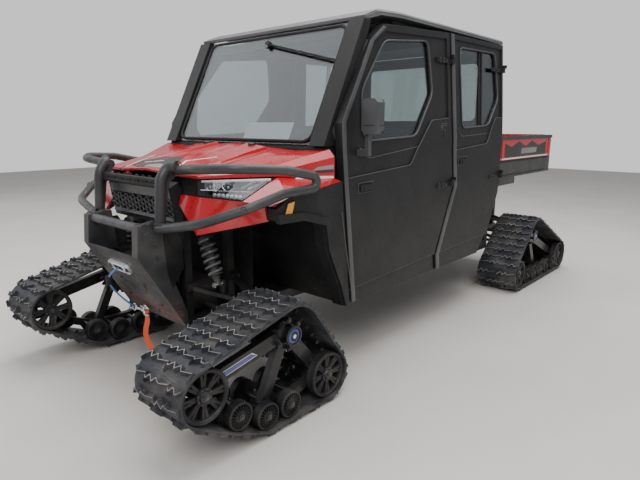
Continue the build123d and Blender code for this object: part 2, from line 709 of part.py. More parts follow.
with BuildPart() as light_bar:
    add(block((SEAT_GAP - UPRIGHT_X, UPRIGHT_X - SEAT_GAP), (-1708, -1680), (1046, 1080)))
export(light_bar.part, "light_bar")

WINCH_CENTRE = (-1680.0, 650.0)
WINCH_END_X = 140.0
with BuildPart() as winch:
    winch_y, winch_z = along(WINCH_CENTRE[0]), WINCH_CENTRE[1]
    add(round_bar((-WINCH_LENGTH / 2, winch_y, winch_z), (WINCH_LENGTH / 2, winch_y, winch_z), WINCH_RADIUS))
    for side in (-1, 1):
        add(block((side * WINCH_END_X - 35, side * WINCH_END_X + 35), (-1724, -1630), (595, 705)))
    add(block((-PLATE_X + SEAT_GAP, PLATE_X - SEAT_GAP), (-1710, -1675), (585, 605)))
export(winch.part, "winch")

# The fairlead lies on the sloping sheet: a plate with a slot for the rope
FAIRLEAD_LENGTH = 190.0
FAIRLEAD_HEIGHT = 62.0
FAIRLEAD_THICKNESS = 14.0
FAIRLEAD_CORNER = 28.0
FAIRLEAD_Z = 648.0
SLOT_LENGTH = 110.0
SLOT_HEIGHT = 26.0
sheet_top, sheet_low = center_sheet[:2]
sheet_rise = sheet_top[1] - sheet_low[1]
sheet_run = sheet_low[0] - sheet_top[0]
fairlead_behind = sheet_top[0] + (sheet_top[1] - FAIRLEAD_Z) * sheet_run / sheet_rise
sheet_out = Vector(0, -sheet_rise, -sheet_run).normalized()
fairlead_plane = Plane(origin=(0, along(fairlead_behind), FAIRLEAD_Z), x_dir=(1, 0, 0), z_dir=sheet_out)
with BuildPart() as fairlead:
    with BuildSketch(fairlead_plane):
        RectangleRounded(FAIRLEAD_LENGTH, FAIRLEAD_HEIGHT, FAIRLEAD_CORNER)
        SlotOverall(SLOT_LENGTH, SLOT_HEIGHT, mode=Mode.SUBTRACT)
    extrude(amount=FAIRLEAD_THICKNESS)
export(fairlead.part, "fairlead")

# Winch rope, hook and pull strap: the rope leaves the sheet squarely through the slot

ROPE_RADIUS = 5.0
STRAP_RADIUS = 9.0
rope_root = Vector(-5, fairlead_behind, FAIRLEAD_Z) + sheet_out * SEAT_GAP
ROPE_POINTS = (
    tuple(rope_root),
    tuple(rope_root + sheet_out * 28),
    (-42.0, -1814.0, 608.0),
    (-88.0, -1808.0, 572.0),
    (-106.0, -1790.0, 520.0),
    (-112.0, -1752.0, 470.0),
    (-120.0, -1708.0, 420.0),
    (-128.0, -1672.0, 386.0),
)
STRAP_POINTS = (
    (-42.0, -1640.0, 372.0),
    (-32.0, -1642.0, 322.0),
    (-62.0, -1640.0, 272.0),
    (-74.0, -1640.0, 222.0),
    (-44.0, -1640.0, 180.0),
    (0.0, -1638.0, 152.0),
)


def cord(points, radius):
    """Return a cord's tube, straight runs joined by tangent arcs, and print its bends and length."""
    bends = cord_bends(points)
    with BuildPart() as tube:
        with BuildLine() as path:
            FilletPolyline(*[(x, along(y), z) for x, y, z in points], radius=bends)
        with BuildSketch(Plane(origin=path.line @ 0, z_dir=path.line % 0)):
            Circle(radius)
        sweep(path=path.line)
    length = sum(edge.length for edge in path.line.edges())
    print("bends", [round(bend) for bend in bends], "length", round(length, 1))
    return tube.part


export(cord(ROPE_POINTS, ROPE_RADIUS), "winch_rope")
export(cord(STRAP_POINTS, STRAP_RADIUS), "pull_strap")

HOOK_THICKNESS = 14.0
EYE_RADIUS = 20.0
EYE_HOLE = 9.0
HOOK_RADIUS = 30.0
HOOK_HOLE = 14.0
hook_end = (ROPE_POINTS[-1][0], along(ROPE_POINTS[-1][1]), ROPE_POINTS[-1][2])
hook_plane = Plane(origin=hook_end, x_dir=(0.98, 0.18, -0.08), z_dir=(-0.18, 0.98, 0.0))
with BuildPart() as winch_hook:
    with BuildSketch(hook_plane):
        with Locations((16, -8)):
            Circle(EYE_RADIUS)
            Circle(EYE_HOLE, mode=Mode.SUBTRACT)
        with Locations((55, -6)):
            Rectangle(46, 16)
        with Locations((92, -14)):
            Circle(HOOK_RADIUS)
            Circle(HOOK_HOLE, mode=Mode.SUBTRACT)
            with Locations((-16, -18)):
                Rectangle(26, 22, mode=Mode.SUBTRACT)
    extrude(amount=HOOK_THICKNESS / 2, both=True)
export(winch_hook.part, "winch_hook")

# Front bodywork: stations from the nose to the cowl, of one crown, so that the hood is flat sheets
# Columns: distance behind mid wheelbase, middle height, half width of the hood
HOOD_STATIONS = (
    (-1612.0, 1112.0, 250.0),
    (-1450.0, 1146.0, 330.0),
    (-1045.0, 1221.0, 478.0),
)
HOOD_CROWN = 0.06
# Columns: distance behind mid wheelbase, seam beside the hood, shoulder x and z, side x, side top z,
# side bottom z
FENDER_STATIONS = (
    (-1606.0, 18.0, 411.0, 1098.0, 424.0, 1096.0, 1086.0),
    (-1450.0, 6.0, 500.0, 1114.0, 520.0, 1104.0, 1086.0),
    (-1295.0, 6.0, 575.0, 1134.0, 604.0, 1110.0, 1086.0),
    (-1040.0, 6.0, 700.0, 1204.0, 732.0, 1170.0, 1066.0),
)


def hood_edge(mid_z, half):
    """Return the height of the hood's edge at a station."""
    return mid_z - HOOD_CROWN * half


with BuildPart() as hood:
    for y, mid_z, half in HOOD_STATIONS:
        edge_z = hood_edge(mid_z, half)
        with BuildSketch(Plane.XZ.offset(-along(y))):
            with BuildLine():
                Polyline(
                    (-half, edge_z), (0, mid_z), (half, edge_z),
                    (half, edge_z - PANEL), (0, mid_z - PANEL), (-half, edge_z - PANEL),
                    close=True,
                )
            make_face()
    loft(ruled=True)
    for side in (-1, 1):
        barrel_x = side * HOOD_BARREL_X
        barrel_top = hood_edge(HOOD_STATIONS[0][1], 0) - HOOD_CROWN * abs(barrel_x) - 4
        with Locations(Location((barrel_x, HOOD_PIVOT_Y, HOOD_PIVOT_Z), (0, 90, 0))):
            Cylinder(BARREL_RADIUS, BARREL_LENGTH)
        with Locations((barrel_x, HOOD_PIVOT_Y, (HOOD_PIVOT_Z + barrel_top) / 2)):
            Box(BARREL_LENGTH, 12, barrel_top - HOOD_PIVOT_Z)
        with Locations(Location((barrel_x, HOOD_PIVOT_Y, HOOD_PIVOT_Z), (0, 90, 0))):
            Cylinder(HINGE_PIN_RADIUS + PIN_CLEARANCE, BARREL_LENGTH + 2, mode=Mode.SUBTRACT)
export(hood.part, "hood")

# Cheek below each headlight, by sections across: x, then top and bottom as (behind, height)
CHEEK_SECTIONS = (
    (300.0, (-1618.0, 1006.0), (-1630.0, 960.0)),
    (440.0, (-1604.0, 1004.0), (-1640.0, 838.0)),
    (600.0, (-1512.0, 990.0), (-1440.0, 880.0)),
    (FENDER_INNER_X, (-1440.0, 972.0), (-1428.0, 900.0)),
)
LAMP_SECTIONS = (
    (404.0, (-1606.0, 1081.0), (-1604.0, 1007.5)),
    (598.0, (-1297.0, 1080.0), (-1507.0, 990.6)),
)


def nose_panel(sections, depth):
    """Return a panel lofted across the nose from its front edges, a fixed depth front to rear."""
    with BuildPart() as panel:
        for x, top, low in sections:
            with BuildSketch(Plane.YZ.offset(x)):
                with BuildLine():
                    Polyline(
                        (along(top[0]), top[1]), (along(low[0]), low[1]),
                        (along(low[0]) + depth, low[1]), (along(top[0]) + depth, top[1]),
                        close=True,
                    )
                make_face()
        loft(ruled=True)
    return panel.part


def hood_at(behind):
    """Return the hood's middle height and half width at a place along it."""
    for front, rear in zip(HOOD_STATIONS, HOOD_STATIONS[1:]):
        if front[0] <= behind <= rear[0] or rear == HOOD_STATIONS[-1]:
            share = (behind - front[0]) / (rear[0] - front[0])
            return [near + (far - near) * share for near, far in zip(front[1:], rear[1:])]


with BuildPart() as front_fenders:
    for y, seam, out_x, out_z, side_x, side_z, low_z in FENDER_STATIONS:
        mid_z, half = hood_at(y)
        edge_z = hood_edge(mid_z, half)
        with BuildSketch(Plane.XZ.offset(-along(y))):
            with BuildLine():
                Polyline(
                    (half + seam, edge_z), (out_x, out_z), (side_x, side_z), (side_x, low_z),
                    (side_x - PANEL, low_z), (side_x - PANEL, side_z - PANEL),
                    (out_x - PANEL, out_z - PANEL), (half + seam, edge_z - PANEL),
                    close=True,
                )
            make_face()
    loft(ruled=True)
    add(nose_panel(CHEEK_SECTIONS, PANEL))
    mirror(about=Plane.YZ)
export(front_fenders.part, "front_fenders")

with BuildPart() as headlights:
    add(nose_panel(LAMP_SECTIONS, 60.0))
    mirror(about=Plane.YZ)
export(headlights.part, "headlights")

cowl_outline = ((-1040 + SEAT_GAP, 1150), (-1040 + SEAT_GAP, 1204), (-1030, 1217.7), (-960, 1217.7), (-950, 1150))
with BuildPart() as cowl:
    add(side_plate(cowl_outline, -CABIN_HALF_WIDTH, 2 * CABIN_HALF_WIDTH))
export(cowl.part, "cowl")

# Grille: a sloping panel with two meshes of hexagonal holes

GRILLE_HALF_WIDTH = 285.0
CELL_PITCH = 46.0
CELL_RADIUS = 22.0
CELL_COLUMNS = 11
CELL_ROWS = 3
grille_outline = (
    (-1618, 1062), (-1666, 1038), (-1640, 858), (GRILLE_BACK, 858), (GRILLE_BACK, 1040), (-1616, 1050),
    (-1616, 1062),
)
with BuildPart() as grille:
    add(side_plate(grille_outline, -GRILLE_HALF_WIDTH, 2 * GRILLE_HALF_WIDTH))
    with BuildSketch(Plane.XZ.offset(-along(-1700))):
        with Locations((0, 950)):
            with HexLocations(CELL_PITCH / 2, CELL_COLUMNS, CELL_ROWS, major_radius=False):
                RegularPolygon(CELL_RADIUS, 6, rotation=30)
    extrude(amount=-200, mode=Mode.SUBTRACT)
export(grille.part, "grille")

# Fender sides behind the front tracks, with a flare round each arch

fender_outline = (
    (-987, 1050), (-1356, 1003), (-1426, 960), (-1426, 908), (-1273, 905), (-1130, 860),
    (-1107, 726), (-1015, 526), (-974, SILL_Z), (-900 - DOOR_GAP, SILL_Z),
)
flare_outline = (
    (-1436, 940), (-1426, 898), (-1273, 895), (-1122, 850), (-1099, 722), (-1007, 522), (-966, SILL_Z),
    (-934, SILL_Z), (-976, 532), (-1068, 738), (-1096, 880), (-1262, 930),
)
with BuildPart() as lower_fenders:
    add(side_plate(fender_outline, FENDER_INNER_X, BODY_HALF_WIDTH - FENDER_INNER_X))
    add(side_plate(flare_outline, BODY_HALF_WIDTH - 10, FLARE_X - BODY_HALF_WIDTH + 10))
    mirror(about=Plane.YZ)
export(lower_fenders.part, "lower_fenders")

with BuildPart() as side_markers:
    add(block((BODY_HALF_WIDTH, BODY_HALF_WIDTH + 6), (-1373, -1294), (944, 984)))
    mirror(about=Plane.YZ)
export(side_markers.part, "side_markers")

# Cab frame: square tubes, with the fixed leaves of the door hinges


def hinge_point(hinge_y, z):
    """Return the pin's centre at a height: a fixed distance outside the body side."""
    lean = max(z - BELT_LINE_Z, 0.0) / (ROOF_LINE_Z - BELT_LINE_Z)
    skin_x = BODY_HALF_WIDTH - (BODY_HALF_WIDTH - TOP_HALF_WIDTH) * lean
    return Vector(skin_x + HINGE_OUT, hinge_y, z)


def hinge_axis(hinge_y):
    """Return the direction of a door's two pins, upwards."""
    return (hinge_point(hinge_y, HINGE_HIGH_Z) - hinge_point(hinge_y, HINGE_LOW_Z)).normalized()


# Columns: hinge line, height, place along of the leg that comes out through the door's gap
HINGES = (
    (FRONT_HINGE_Y, HINGE_LOW_Z, FRONT_HINGE_Y + 36.5),
    (FRONT_HINGE_Y, HINGE_HIGH_Z, FRONT_HINGE_Y - 5.5),
    (REAR_HINGE_Y, HINGE_LOW_Z, REAR_HINGE_Y + 14.0),
    (REAR_HINGE_Y, HINGE_HIGH_Z, REAR_HINGE_Y + 29.0),
)


def cage_x(z):
    """Return the place across of the cab frame's side posts at a height."""
    lean = max(z - BELT_LINE_Z, 0.0) / (CAGE_TOP_Z - BELT_LINE_Z)
    return CAGE_LOW_X - (CAGE_LOW_X - CAGE_TOP_X) * min(lean, 1.0)


def fixed_leaf(hinge_y, z, leg_y):
    """Return a hinge's fixed leaf: a leg from the post, an ear above the barrel and its pin."""
    pin = hinge_point(hinge_y, z)
    axis = hinge_axis(hinge_y)
    leg_low = z + BARREL_LENGTH / 2 + 1.5
    reach_x = pin.X + BARREL_RADIUS - 2
    root_x = cage_x(z)
    ear_rear = max(leg_y + LEG_THICKNESS / 2, hinge_y + BARREL_RADIUS)
    ear_front = min(leg_y - LEG_THICKNESS / 2, hinge_y - BARREL_RADIUS)
    with BuildPart() as leaf:
        with Locations(((root_x + reach_x) / 2, leg_y, leg_low + LEG_HEIGHT / 2)):
            Box(reach_x - root_x, LEG_THICKNESS, LEG_HEIGHT)
        with Locations((pin.X, (ear_front + ear_rear) / 2, leg_low + EAR_THICKNESS / 2)):
            Box(2 * BARREL_RADIUS - 4, ear_rear - ear_front, EAR_THICKNESS)
        foot = pin - axis * (BARREL_LENGTH / 2)
        head = pin + axis * (BARREL_LENGTH / 2 + 6)
        add(round_bar(tuple(foot), tuple(head), HINGE_PIN_RADIUS))
    return leaf.part


def moving_leaf(hinge_y, z):
    """Return a hinge's moving leaf: a strap along the door with a barrel at its end."""
    pin = hinge_point(hinge_y, z)
    axis = hinge_axis(hinge_y)
    skin_x = pin.X - HINGE_OUT
    with BuildPart() as leaf:
        with Locations((skin_x + STRAP_THICKNESS / 2 - 2, hinge_y - STRAP_LENGTH / 2, z)):
            Box(STRAP_THICKNESS + 4, STRAP_LENGTH, BARREL_LENGTH - 4)
        with Locations((skin_x + HINGE_OUT / 2, hinge_y - 8, z)):
            Box(HINGE_OUT - 2, 14, BARREL_LENGTH - 4)
        foot = tuple(pin - axis * (BARREL_LENGTH / 2))
        head = tuple(pin + axis * (BARREL_LENGTH / 2))
        add(round_bar(foot, head, BARREL_RADIUS))
    return leaf.part


def pin_bore(hinge_y, z):
    """Return the bore of a moving leaf's barrel, a little longer than the barrel."""
    pin = hinge_point(hinge_y, z)
    axis = hinge_axis(hinge_y)
    foot = tuple(pin - axis * BARREL_LENGTH)
    head = tuple(pin + axis * BARREL_LENGTH)
    return round_bar(foot, head, HINGE_PIN_RADIUS + PIN_CLEARANCE)


B_POST_Y = MID_Y + 120.0
C_POST_Y = CAB_REAR_Y - CAGE_TUBE / 2
HEADER_Y = MID_Y - 700.0
HEADER_Z = 1795.0
HEADER_LEAN = 18.0
ROOF_RAIL_Y = MID_Y - 490.0
SILL_FRONT_Y = DOOR_FRONT_Y + 6.0
with BuildPart() as cab_cage:
    floor_z = FLOOR_TOP_Z + CAGE_TUBE / 2
    top_z = CAGE_TOP_Z - CAGE_TUBE / 2
    for post_y, head_y in ((B_POST_Y, B_POST_Y - HEADER_LEAN), (C_POST_Y, C_POST_Y)):
        add(square_bar((CAGE_LOW_X, post_y, FLOOR_TOP_Z), (CAGE_LOW_X, post_y, BELT_LINE_Z), CAGE_TUBE, CAGE_TUBE))
        add(square_bar((CAGE_LOW_X, post_y, BELT_LINE_Z - 4), (CAGE_TOP_X, head_y, top_z), CAGE_TUBE, CAGE_TUBE))
    add(square_bar((CAGE_TOP_X, HEADER_Y, HEADER_Z), (CAGE_TOP_X, ROOF_RAIL_Y + 10, top_z), CAGE_TUBE, CAGE_TUBE))
    with Locations((CAGE_TOP_X, (ROOF_RAIL_Y + CAB_REAR_Y) / 2, top_z)):
        Box(CAGE_TUBE, CAB_REAR_Y - ROOF_RAIL_Y, CAGE_TUBE)
    with Locations((CAGE_LOW_X, (SILL_FRONT_Y + CAB_REAR_Y) / 2, floor_z)):
        Box(CAGE_TUBE, CAB_REAR_Y - SILL_FRONT_Y, CAGE_TUBE)
    for hinge in HINGES:
        add(fixed_leaf(*hinge))
    mirror(about=Plane.YZ)
    bows = ((HEADER_Y + 15, HEADER_Z), (B_POST_Y - HEADER_LEAN, top_z), (C_POST_Y, top_z), (C_POST_Y, BELT_LINE_Z))
    for y, z in bows:
        with Locations((0, y, z)):
            Box(2 * cage_x(z), CAGE_TUBE - 10, CAGE_TUBE - 10)
export(cab_cage.part, "cab_cage")

# Roof: a crowned sheet with a visor lip in front and three raised panels

ROOF_HALF_WIDTH = TOP_HALF_WIDTH - 18.0
ROOF_BASE_Z = ROOF_LINE_Z + 6.0
roof_outline = (
    (-705, ROOF_BASE_Z - 42), (-600, ROOF_BASE_Z - 11), (-400, ROOF_BASE_Z), (905, ROOF_BASE_Z),
    (905, ROOF_BASE_Z + ROOF_THICKNESS), (-420, ROOF_BASE_Z + ROOF_THICKNESS),
    (-620, ROOF_BASE_Z + 19), (-748, ROOF_BASE_Z - 30), (-742, ROOF_BASE_Z - 46),
)
with BuildPart() as roof:
    add(side_plate(roof_outline, -ROOF_HALF_WIDTH, 2 * ROOF_HALF_WIDTH))
    chamfer(roof.edges().filter_by(Axis.Y).group_by(Axis.Z)[-1], 12)
    with BuildSketch(Plane.XY.offset(ROOF_BASE_Z + ROOF_THICKNESS)):
        with Locations([(x, MID_Y + 240) for x in (-390, 0, 390)]):
            RectangleRounded(300, 1180, 40)
    extrude(amount=6)
    add(block((-CAGE_TOP_X, CAGE_TOP_X), (-380, 860), (CAGE_TOP_Z, ROOF_BASE_Z)))
export(roof.part, "roof")

WINDSHIELD_HALF_WIDTH = 580.0
glass_line = ((-1030, 1222), (-1037, 1222), (-740, 1832), (-733, 1832))
with BuildPart() as windshield:
    add(side_plate(glass_line, -WINDSHIELD_HALF_WIDTH, 2 * WINDSHIELD_HALF_WIDTH))
export(windshield.part, "windshield")

pillar_outline = (
    (-965, 1218), (-1062, 1218), (-760, 1838), (-705, 1838), (-735, 1750), (-1005, 1300), (-985, 1260)
)
with BuildPart() as pillar_covers:
    add(side_plate(pillar_outline, WINDSHIELD_HALF_WIDTH + SEAT_GAP, 100))
    mirror(about=Plane.YZ)
export(pillar_covers.part, "pillar_covers")

WIPER_PIVOT = (3.0, -771.0, 1768.0)
WIPER_TIP = (560.0, -835.5, 1635.5)
glass_foot, glass_head = glass_line[1:3]
glass_out = Vector(0, glass_foot[1] - glass_head[1], glass_head[0] - glass_foot[0]).normalized()
WIPER_LIFT = 16.0
with BuildPart() as wiper:
    lift = glass_out * WIPER_LIFT
    pivot = Vector(WIPER_PIVOT[0], MID_Y + WIPER_PIVOT[1], WIPER_PIVOT[2])
    tip = Vector(WIPER_TIP[0], MID_Y + WIPER_TIP[1], WIPER_TIP[2])
    add(square_bar(tuple(pivot + lift), tuple(tip + lift), 14, 8))
    add(round_bar(tuple(pivot + glass_out * SEAT_GAP), tuple(pivot + glass_out * (WIPER_LIFT + 8)), 18))
export(wiper.part, "wiper")

# Floor with the toe board and firewall, and the rear wall

toe_outline = (
    (-895, RAIL_TOP), (-905, RAIL_TOP), (-1000, 530), (-1085, 740), (-1085, 1000), (-1030, 1150),
    (-1018, 1150), (-1073, 1000), (-1073, 744), (-988, 534), (-899, FLOOR_TOP_Z), (-895, FLOOR_TOP_Z),
)
with BuildPart() as cab_floor:
    add(block((-CABIN_HALF_WIDTH, CABIN_HALF_WIDTH), (-895, 897), (RAIL_TOP, FLOOR_TOP_Z)))
    add(side_plate(toe_outline, -CABIN_HALF_WIDTH, 2 * CABIN_HALF_WIDTH))
export(cab_floor.part, "cab_floor")

REAR_WINDOW_Z = 1560.0
REAR_WINDOW_WIDTH = 1000.0
REAR_WINDOW_HEIGHT = 420.0
REAR_WALL_HALF_WIDTH = TOP_HALF_WIDTH - DOOR_THICKNESS - 3.0
with BuildPart() as rear_wall:
    with BuildSketch(Plane.XZ.offset(-CAB_REAR_Y)):
        with Locations((0, (FLOOR_TOP_Z + CAGE_TOP_Z) / 2)):
            Rectangle(2 * REAR_WALL_HALF_WIDTH, CAGE_TOP_Z - FLOOR_TOP_Z)
        with Locations((0, REAR_WINDOW_Z)):
            RectangleRounded(REAR_WINDOW_WIDTH, REAR_WINDOW_HEIGHT, 40, mode=Mode.SUBTRACT)
    extrude(amount=-FLOOR_THICKNESS)
export(rear_wall.part, "rear_wall")

with BuildPart() as rear_window:
    with BuildSketch(Plane.XZ.offset(-CAB_REAR_Y - 3)):
        with Locations((0, REAR_WINDOW_Z)):
            RectangleRounded(
                REAR_WINDOW_WIDTH - 2 * SEAT_GAP, REAR_WINDOW_HEIGHT - 2 * SEAT_GAP, 40 - SEAT_GAP
            )
    extrude(amount=-GLASS_THICKNESS)
export(rear_window.part, "rear_window")

dash_outline = (
    (-1010, 1000), (-1010, 1149.7), (-948, 1149.7), (-946, 1188), (-830, 1176), (-740, 1100), (-740, 1000),
    (-800, 930), (-960, 930),
)
WHEEL_X = 340.0
WHEEL_Y = MID_Y - 640.0
WHEEL_Z = 1080.0
WHEEL_SLOPE = 0.7
WHEEL_RIM_RADIUS = 189.0
WHEEL_RIM_WIDTH = 28.0
RIM_SIDES = 32
HUB_THICKNESS = 30.0
wheel_centre = Vector(WHEEL_X, WHEEL_Y, WHEEL_Z)
wheel_way = Vector(0, 1, WHEEL_SLOPE).normalized()
with BuildPart() as dashboard:
    add(side_plate(dash_outline, -WINDSHIELD_HALF_WIDTH, 2 * WINDSHIELD_HALF_WIDTH))
    column_foot = wheel_centre - wheel_way * 170
    column_head = wheel_centre - wheel_way * (HUB_THICKNESS / 2 + SEAT_GAP)
    add(round_bar(tuple(column_foot), tuple(column_head), 26))
    add(round_bar(tuple(column_foot), tuple(wheel_centre), 9))
export(dashboard.part, "dashboard")

with BuildPart() as steering_wheel:
    wheel_plane = Plane(origin=wheel_centre, x_dir=(1, 0, 0), z_dir=wheel_way)
    with BuildSketch(wheel_plane.offset(-HUB_THICKNESS / 2)):
        RegularPolygon(WHEEL_RIM_RADIUS, RIM_SIDES)
        RegularPolygon(WHEEL_RIM_RADIUS - WHEEL_RIM_WIDTH, RIM_SIDES, mode=Mode.SUBTRACT)
        Rectangle(2 * WHEEL_RIM_RADIUS - WHEEL_RIM_WIDTH, 34)
        with Locations((0, -WHEEL_RIM_RADIUS / 2)):
            Rectangle(34, WHEEL_RIM_RADIUS - 10)
        Circle(45)
    extrude(amount=HUB_THICKNESS)
    with BuildSketch(wheel_plane.offset(-HUB_THICKNESS / 2)):
        Circle(9 + PIN_CLEARANCE)
    extrude(amount=HUB_THICKNESS / 2 + SEAT_GAP, mode=Mode.SUBTRACT)
export(steering_wheel.part, "steering_wheel")

SEAT_BASE_TOP = 640.0
SEAT_HALF_WIDTH = 560.0
for place, y in (("front", -330.0), ("rear", 505.0)):
    seat_outline = (
        (y - 250, SEAT_BASE_TOP), (y - 250, 780), (y + 180, 760), (y + 260, 1300),
        (y + 330, 1300), (y + 290, SEAT_BASE_TOP),
    )
    with BuildPart() as seat:
        add(side_plate(seat_outline, -SEAT_HALF_WIDTH, 2 * SEAT_HALF_WIDTH))
        add(block((20 - SEAT_HALF_WIDTH, SEAT_HALF_WIDTH - 20), (y - 230, y + 250), (FLOOR_TOP_Z, SEAT_BASE_TOP)))
    export(seat.part, f"{place}_seat")

# Doors: outlines seen from the side, with the line of the crease above which the skin is recessed

SPLIT_LINE = ((-44, SILL_Z), (-60, 501), (135, 928), (100, 1167), (82, 1868))
FRONT_DOOR = ((-900, SILL_Z), (-973, 1050), (-989, 1215), (-985, 1330), (-720, 1750), (-600, 1830))
REAR_DOOR_TAIL = ((868, 1876), (870, 1400), (856, 1055), (848, 829), (714, 551), (575, SILL_Z))
FRONT_WINDOW = ((-783, 1240), (-820, 1290), (-810, 1490), (-600, 1750), (-160, 1795), (-120, 1500), (-311, 1258))
REAR_WINDOW = ((250, 1300), (225, 1800), (750, 1810), (800, 1500), (640, 1318))
FRONT_RECESS = (
    (-950, 1062), (-369, 1097), (-310, 1180), (-140, 1348), (58, 1362), (50, 1830), (-590, 1795),
    (-705, 1725), (-960, 1320), (-965, 1215),
)
REAR_RECESS = (
    (131, 1160), (611, 1193), (671, 1281), (746, 1372), (845, 1372), (845, 1845), (122, 1838),
)
FRONT_KICK = ((-920, SILL_Z), (-920, 480), (-45, 515), (-30, SILL_Z))
REAR_KICK = ((-40, SILL_Z), (-40, 512), (720, 535), (700, SILL_Z))


def door_panel(outline, window, cuts, first, last, hinge_y, handle_y, handle_z):
    """Return a door: the side's section within its outline, with window, recesses, handle and hinges."""
    first_y, last_y = MID_Y + first, MID_Y + last
    with BuildPart() as door:
        add(side_slab(0, DOOR_THICKNESS, first_y, last_y))
        add(side_plate(outline, 500, 400), mode=Mode.INTERSECT)
        add(side_plate(window, 500, 400), mode=Mode.SUBTRACT)
        for cut in cuts:
            with BuildPart(mode=Mode.PRIVATE) as recess:
                add(side_slab(-20, 20 + PANEL_RECESS, first_y, last_y))
                add(side_plate(cut, 500, 400), mode=Mode.INTERSECT)
            add(recess.part, mode=Mode.SUBTRACT)
        with Locations((BODY_HALF_WIDTH + 4, MID_Y + handle_y, handle_z)):
            Box(16, 110, 30)
        for z in (HINGE_LOW_Z, HINGE_HIGH_Z):
            add(moving_leaf(hinge_y, z))
        for z in (HINGE_LOW_Z, HINGE_HIGH_Z):
            add(pin_bore(hinge_y, z), mode=Mode.SUBTRACT)
    return door.part


def window_glass(window, first, last):
    """Return the glass that fills a door's window."""
    with BuildPart() as glass:
        add(side_slab(20, GLASS_THICKNESS, MID_Y + first, MID_Y + last))
        with BuildSketch(Plane.YZ.offset(500)):
            with BuildLine():
                Polyline(*[(MID_Y + behind, height) for behind, height in window], close=True)
            make_face()
            offset(amount=-SEAT_GAP, kind=Kind.INTERSECTION)
        extrude(amount=400, mode=Mode.INTERSECT)
    return glass.part


front_outline = FRONT_DOOR + tuple(reversed(SPLIT_LINE))
rear_outline = tuple((behind + DOOR_GAP, height) for behind, height in SPLIT_LINE) + REAR_DOOR_TAIL
front_door = door_panel(
    front_outline, FRONT_WINDOW, (FRONT_RECESS, FRONT_KICK), -1010, 160, FRONT_HINGE_Y, -795, 1003
)
rear_door = door_panel(
    rear_outline, REAR_WINDOW, (REAR_RECESS, REAR_KICK), -80, 900, REAR_HINGE_Y, 262, 1087
)
front_glass = window_glass(FRONT_WINDOW, -1010, 160)
rear_glass = window_glass(REAR_WINDOW, -80, 900)
for name, piece in (
    ("front_left_door", front_door),
    ("front_left_window", front_glass),
    ("rear_left_door", rear_door),
    ("rear_left_window", rear_glass),
):
    export(piece, name)
    export(mirrored(piece), name.replace("left", "right"))

MIRROR_Y = -850.0
MIRROR_Z = 1360.0
MIRROR_WIDTH = 95.0
MIRROR_HEIGHT = 168.0
MIRROR_DEPTH = 60.0
MIRROR_CHAMFER = 18.0
MIRROR_OUT = 28.0
MIRROR_FOOT_Z = 1168.0
MIRROR_ARM = 28.0
MIRROR_ROOT_X = BODY_HALF_WIDTH - PANEL_RECESS + SEAT_GAP
mirror_x = BODY_HALF_WIDTH + MIRROR_OUT
arm_range = (MIRROR_Y - MIRROR_ARM / 2, MIRROR_Y + MIRROR_ARM / 2)
head_range = (MIRROR_Y - MIRROR_DEPTH / 2, MIRROR_Y + MIRROR_DEPTH / 2)
head_z_range = (MIRROR_Z - MIRROR_HEIGHT / 2, MIRROR_Z + MIRROR_HEIGHT / 2)
with BuildPart() as side_mirror:
    add(block((mirror_x, mirror_x + MIRROR_WIDTH), head_range, head_z_range))
    chamfer(side_mirror.edges().filter_by(Axis.Y), MIRROR_CHAMFER)
    add(block((MIRROR_ROOT_X, mirror_x + 32), arm_range, (MIRROR_FOOT_Z, MIRROR_FOOT_Z + 32)))
    add(block((mirror_x + 12, mirror_x + 32), arm_range, (MIRROR_FOOT_Z, MIRROR_Z)))
export(side_mirror.part, "side_mirror")

# Cargo bed: floor on runners, walls with a top rail, rear posts with lamps, and the tailgate

BED_INNER = BED_HALF_WIDTH - BED_WALL
RUNNER_X = 225.0
RUNNER_WIDTH = 40.0
BED_RAIL_HEIGHT = 26.0
BED_RAIL_OUT = 8.0
BED_SKIRT_Z = 860.0


def span(side, first, last):
    """Return two places across in rising order, on one side of the vehicle."""
    return (min(side * first, side * last), max(side * first, side * last))


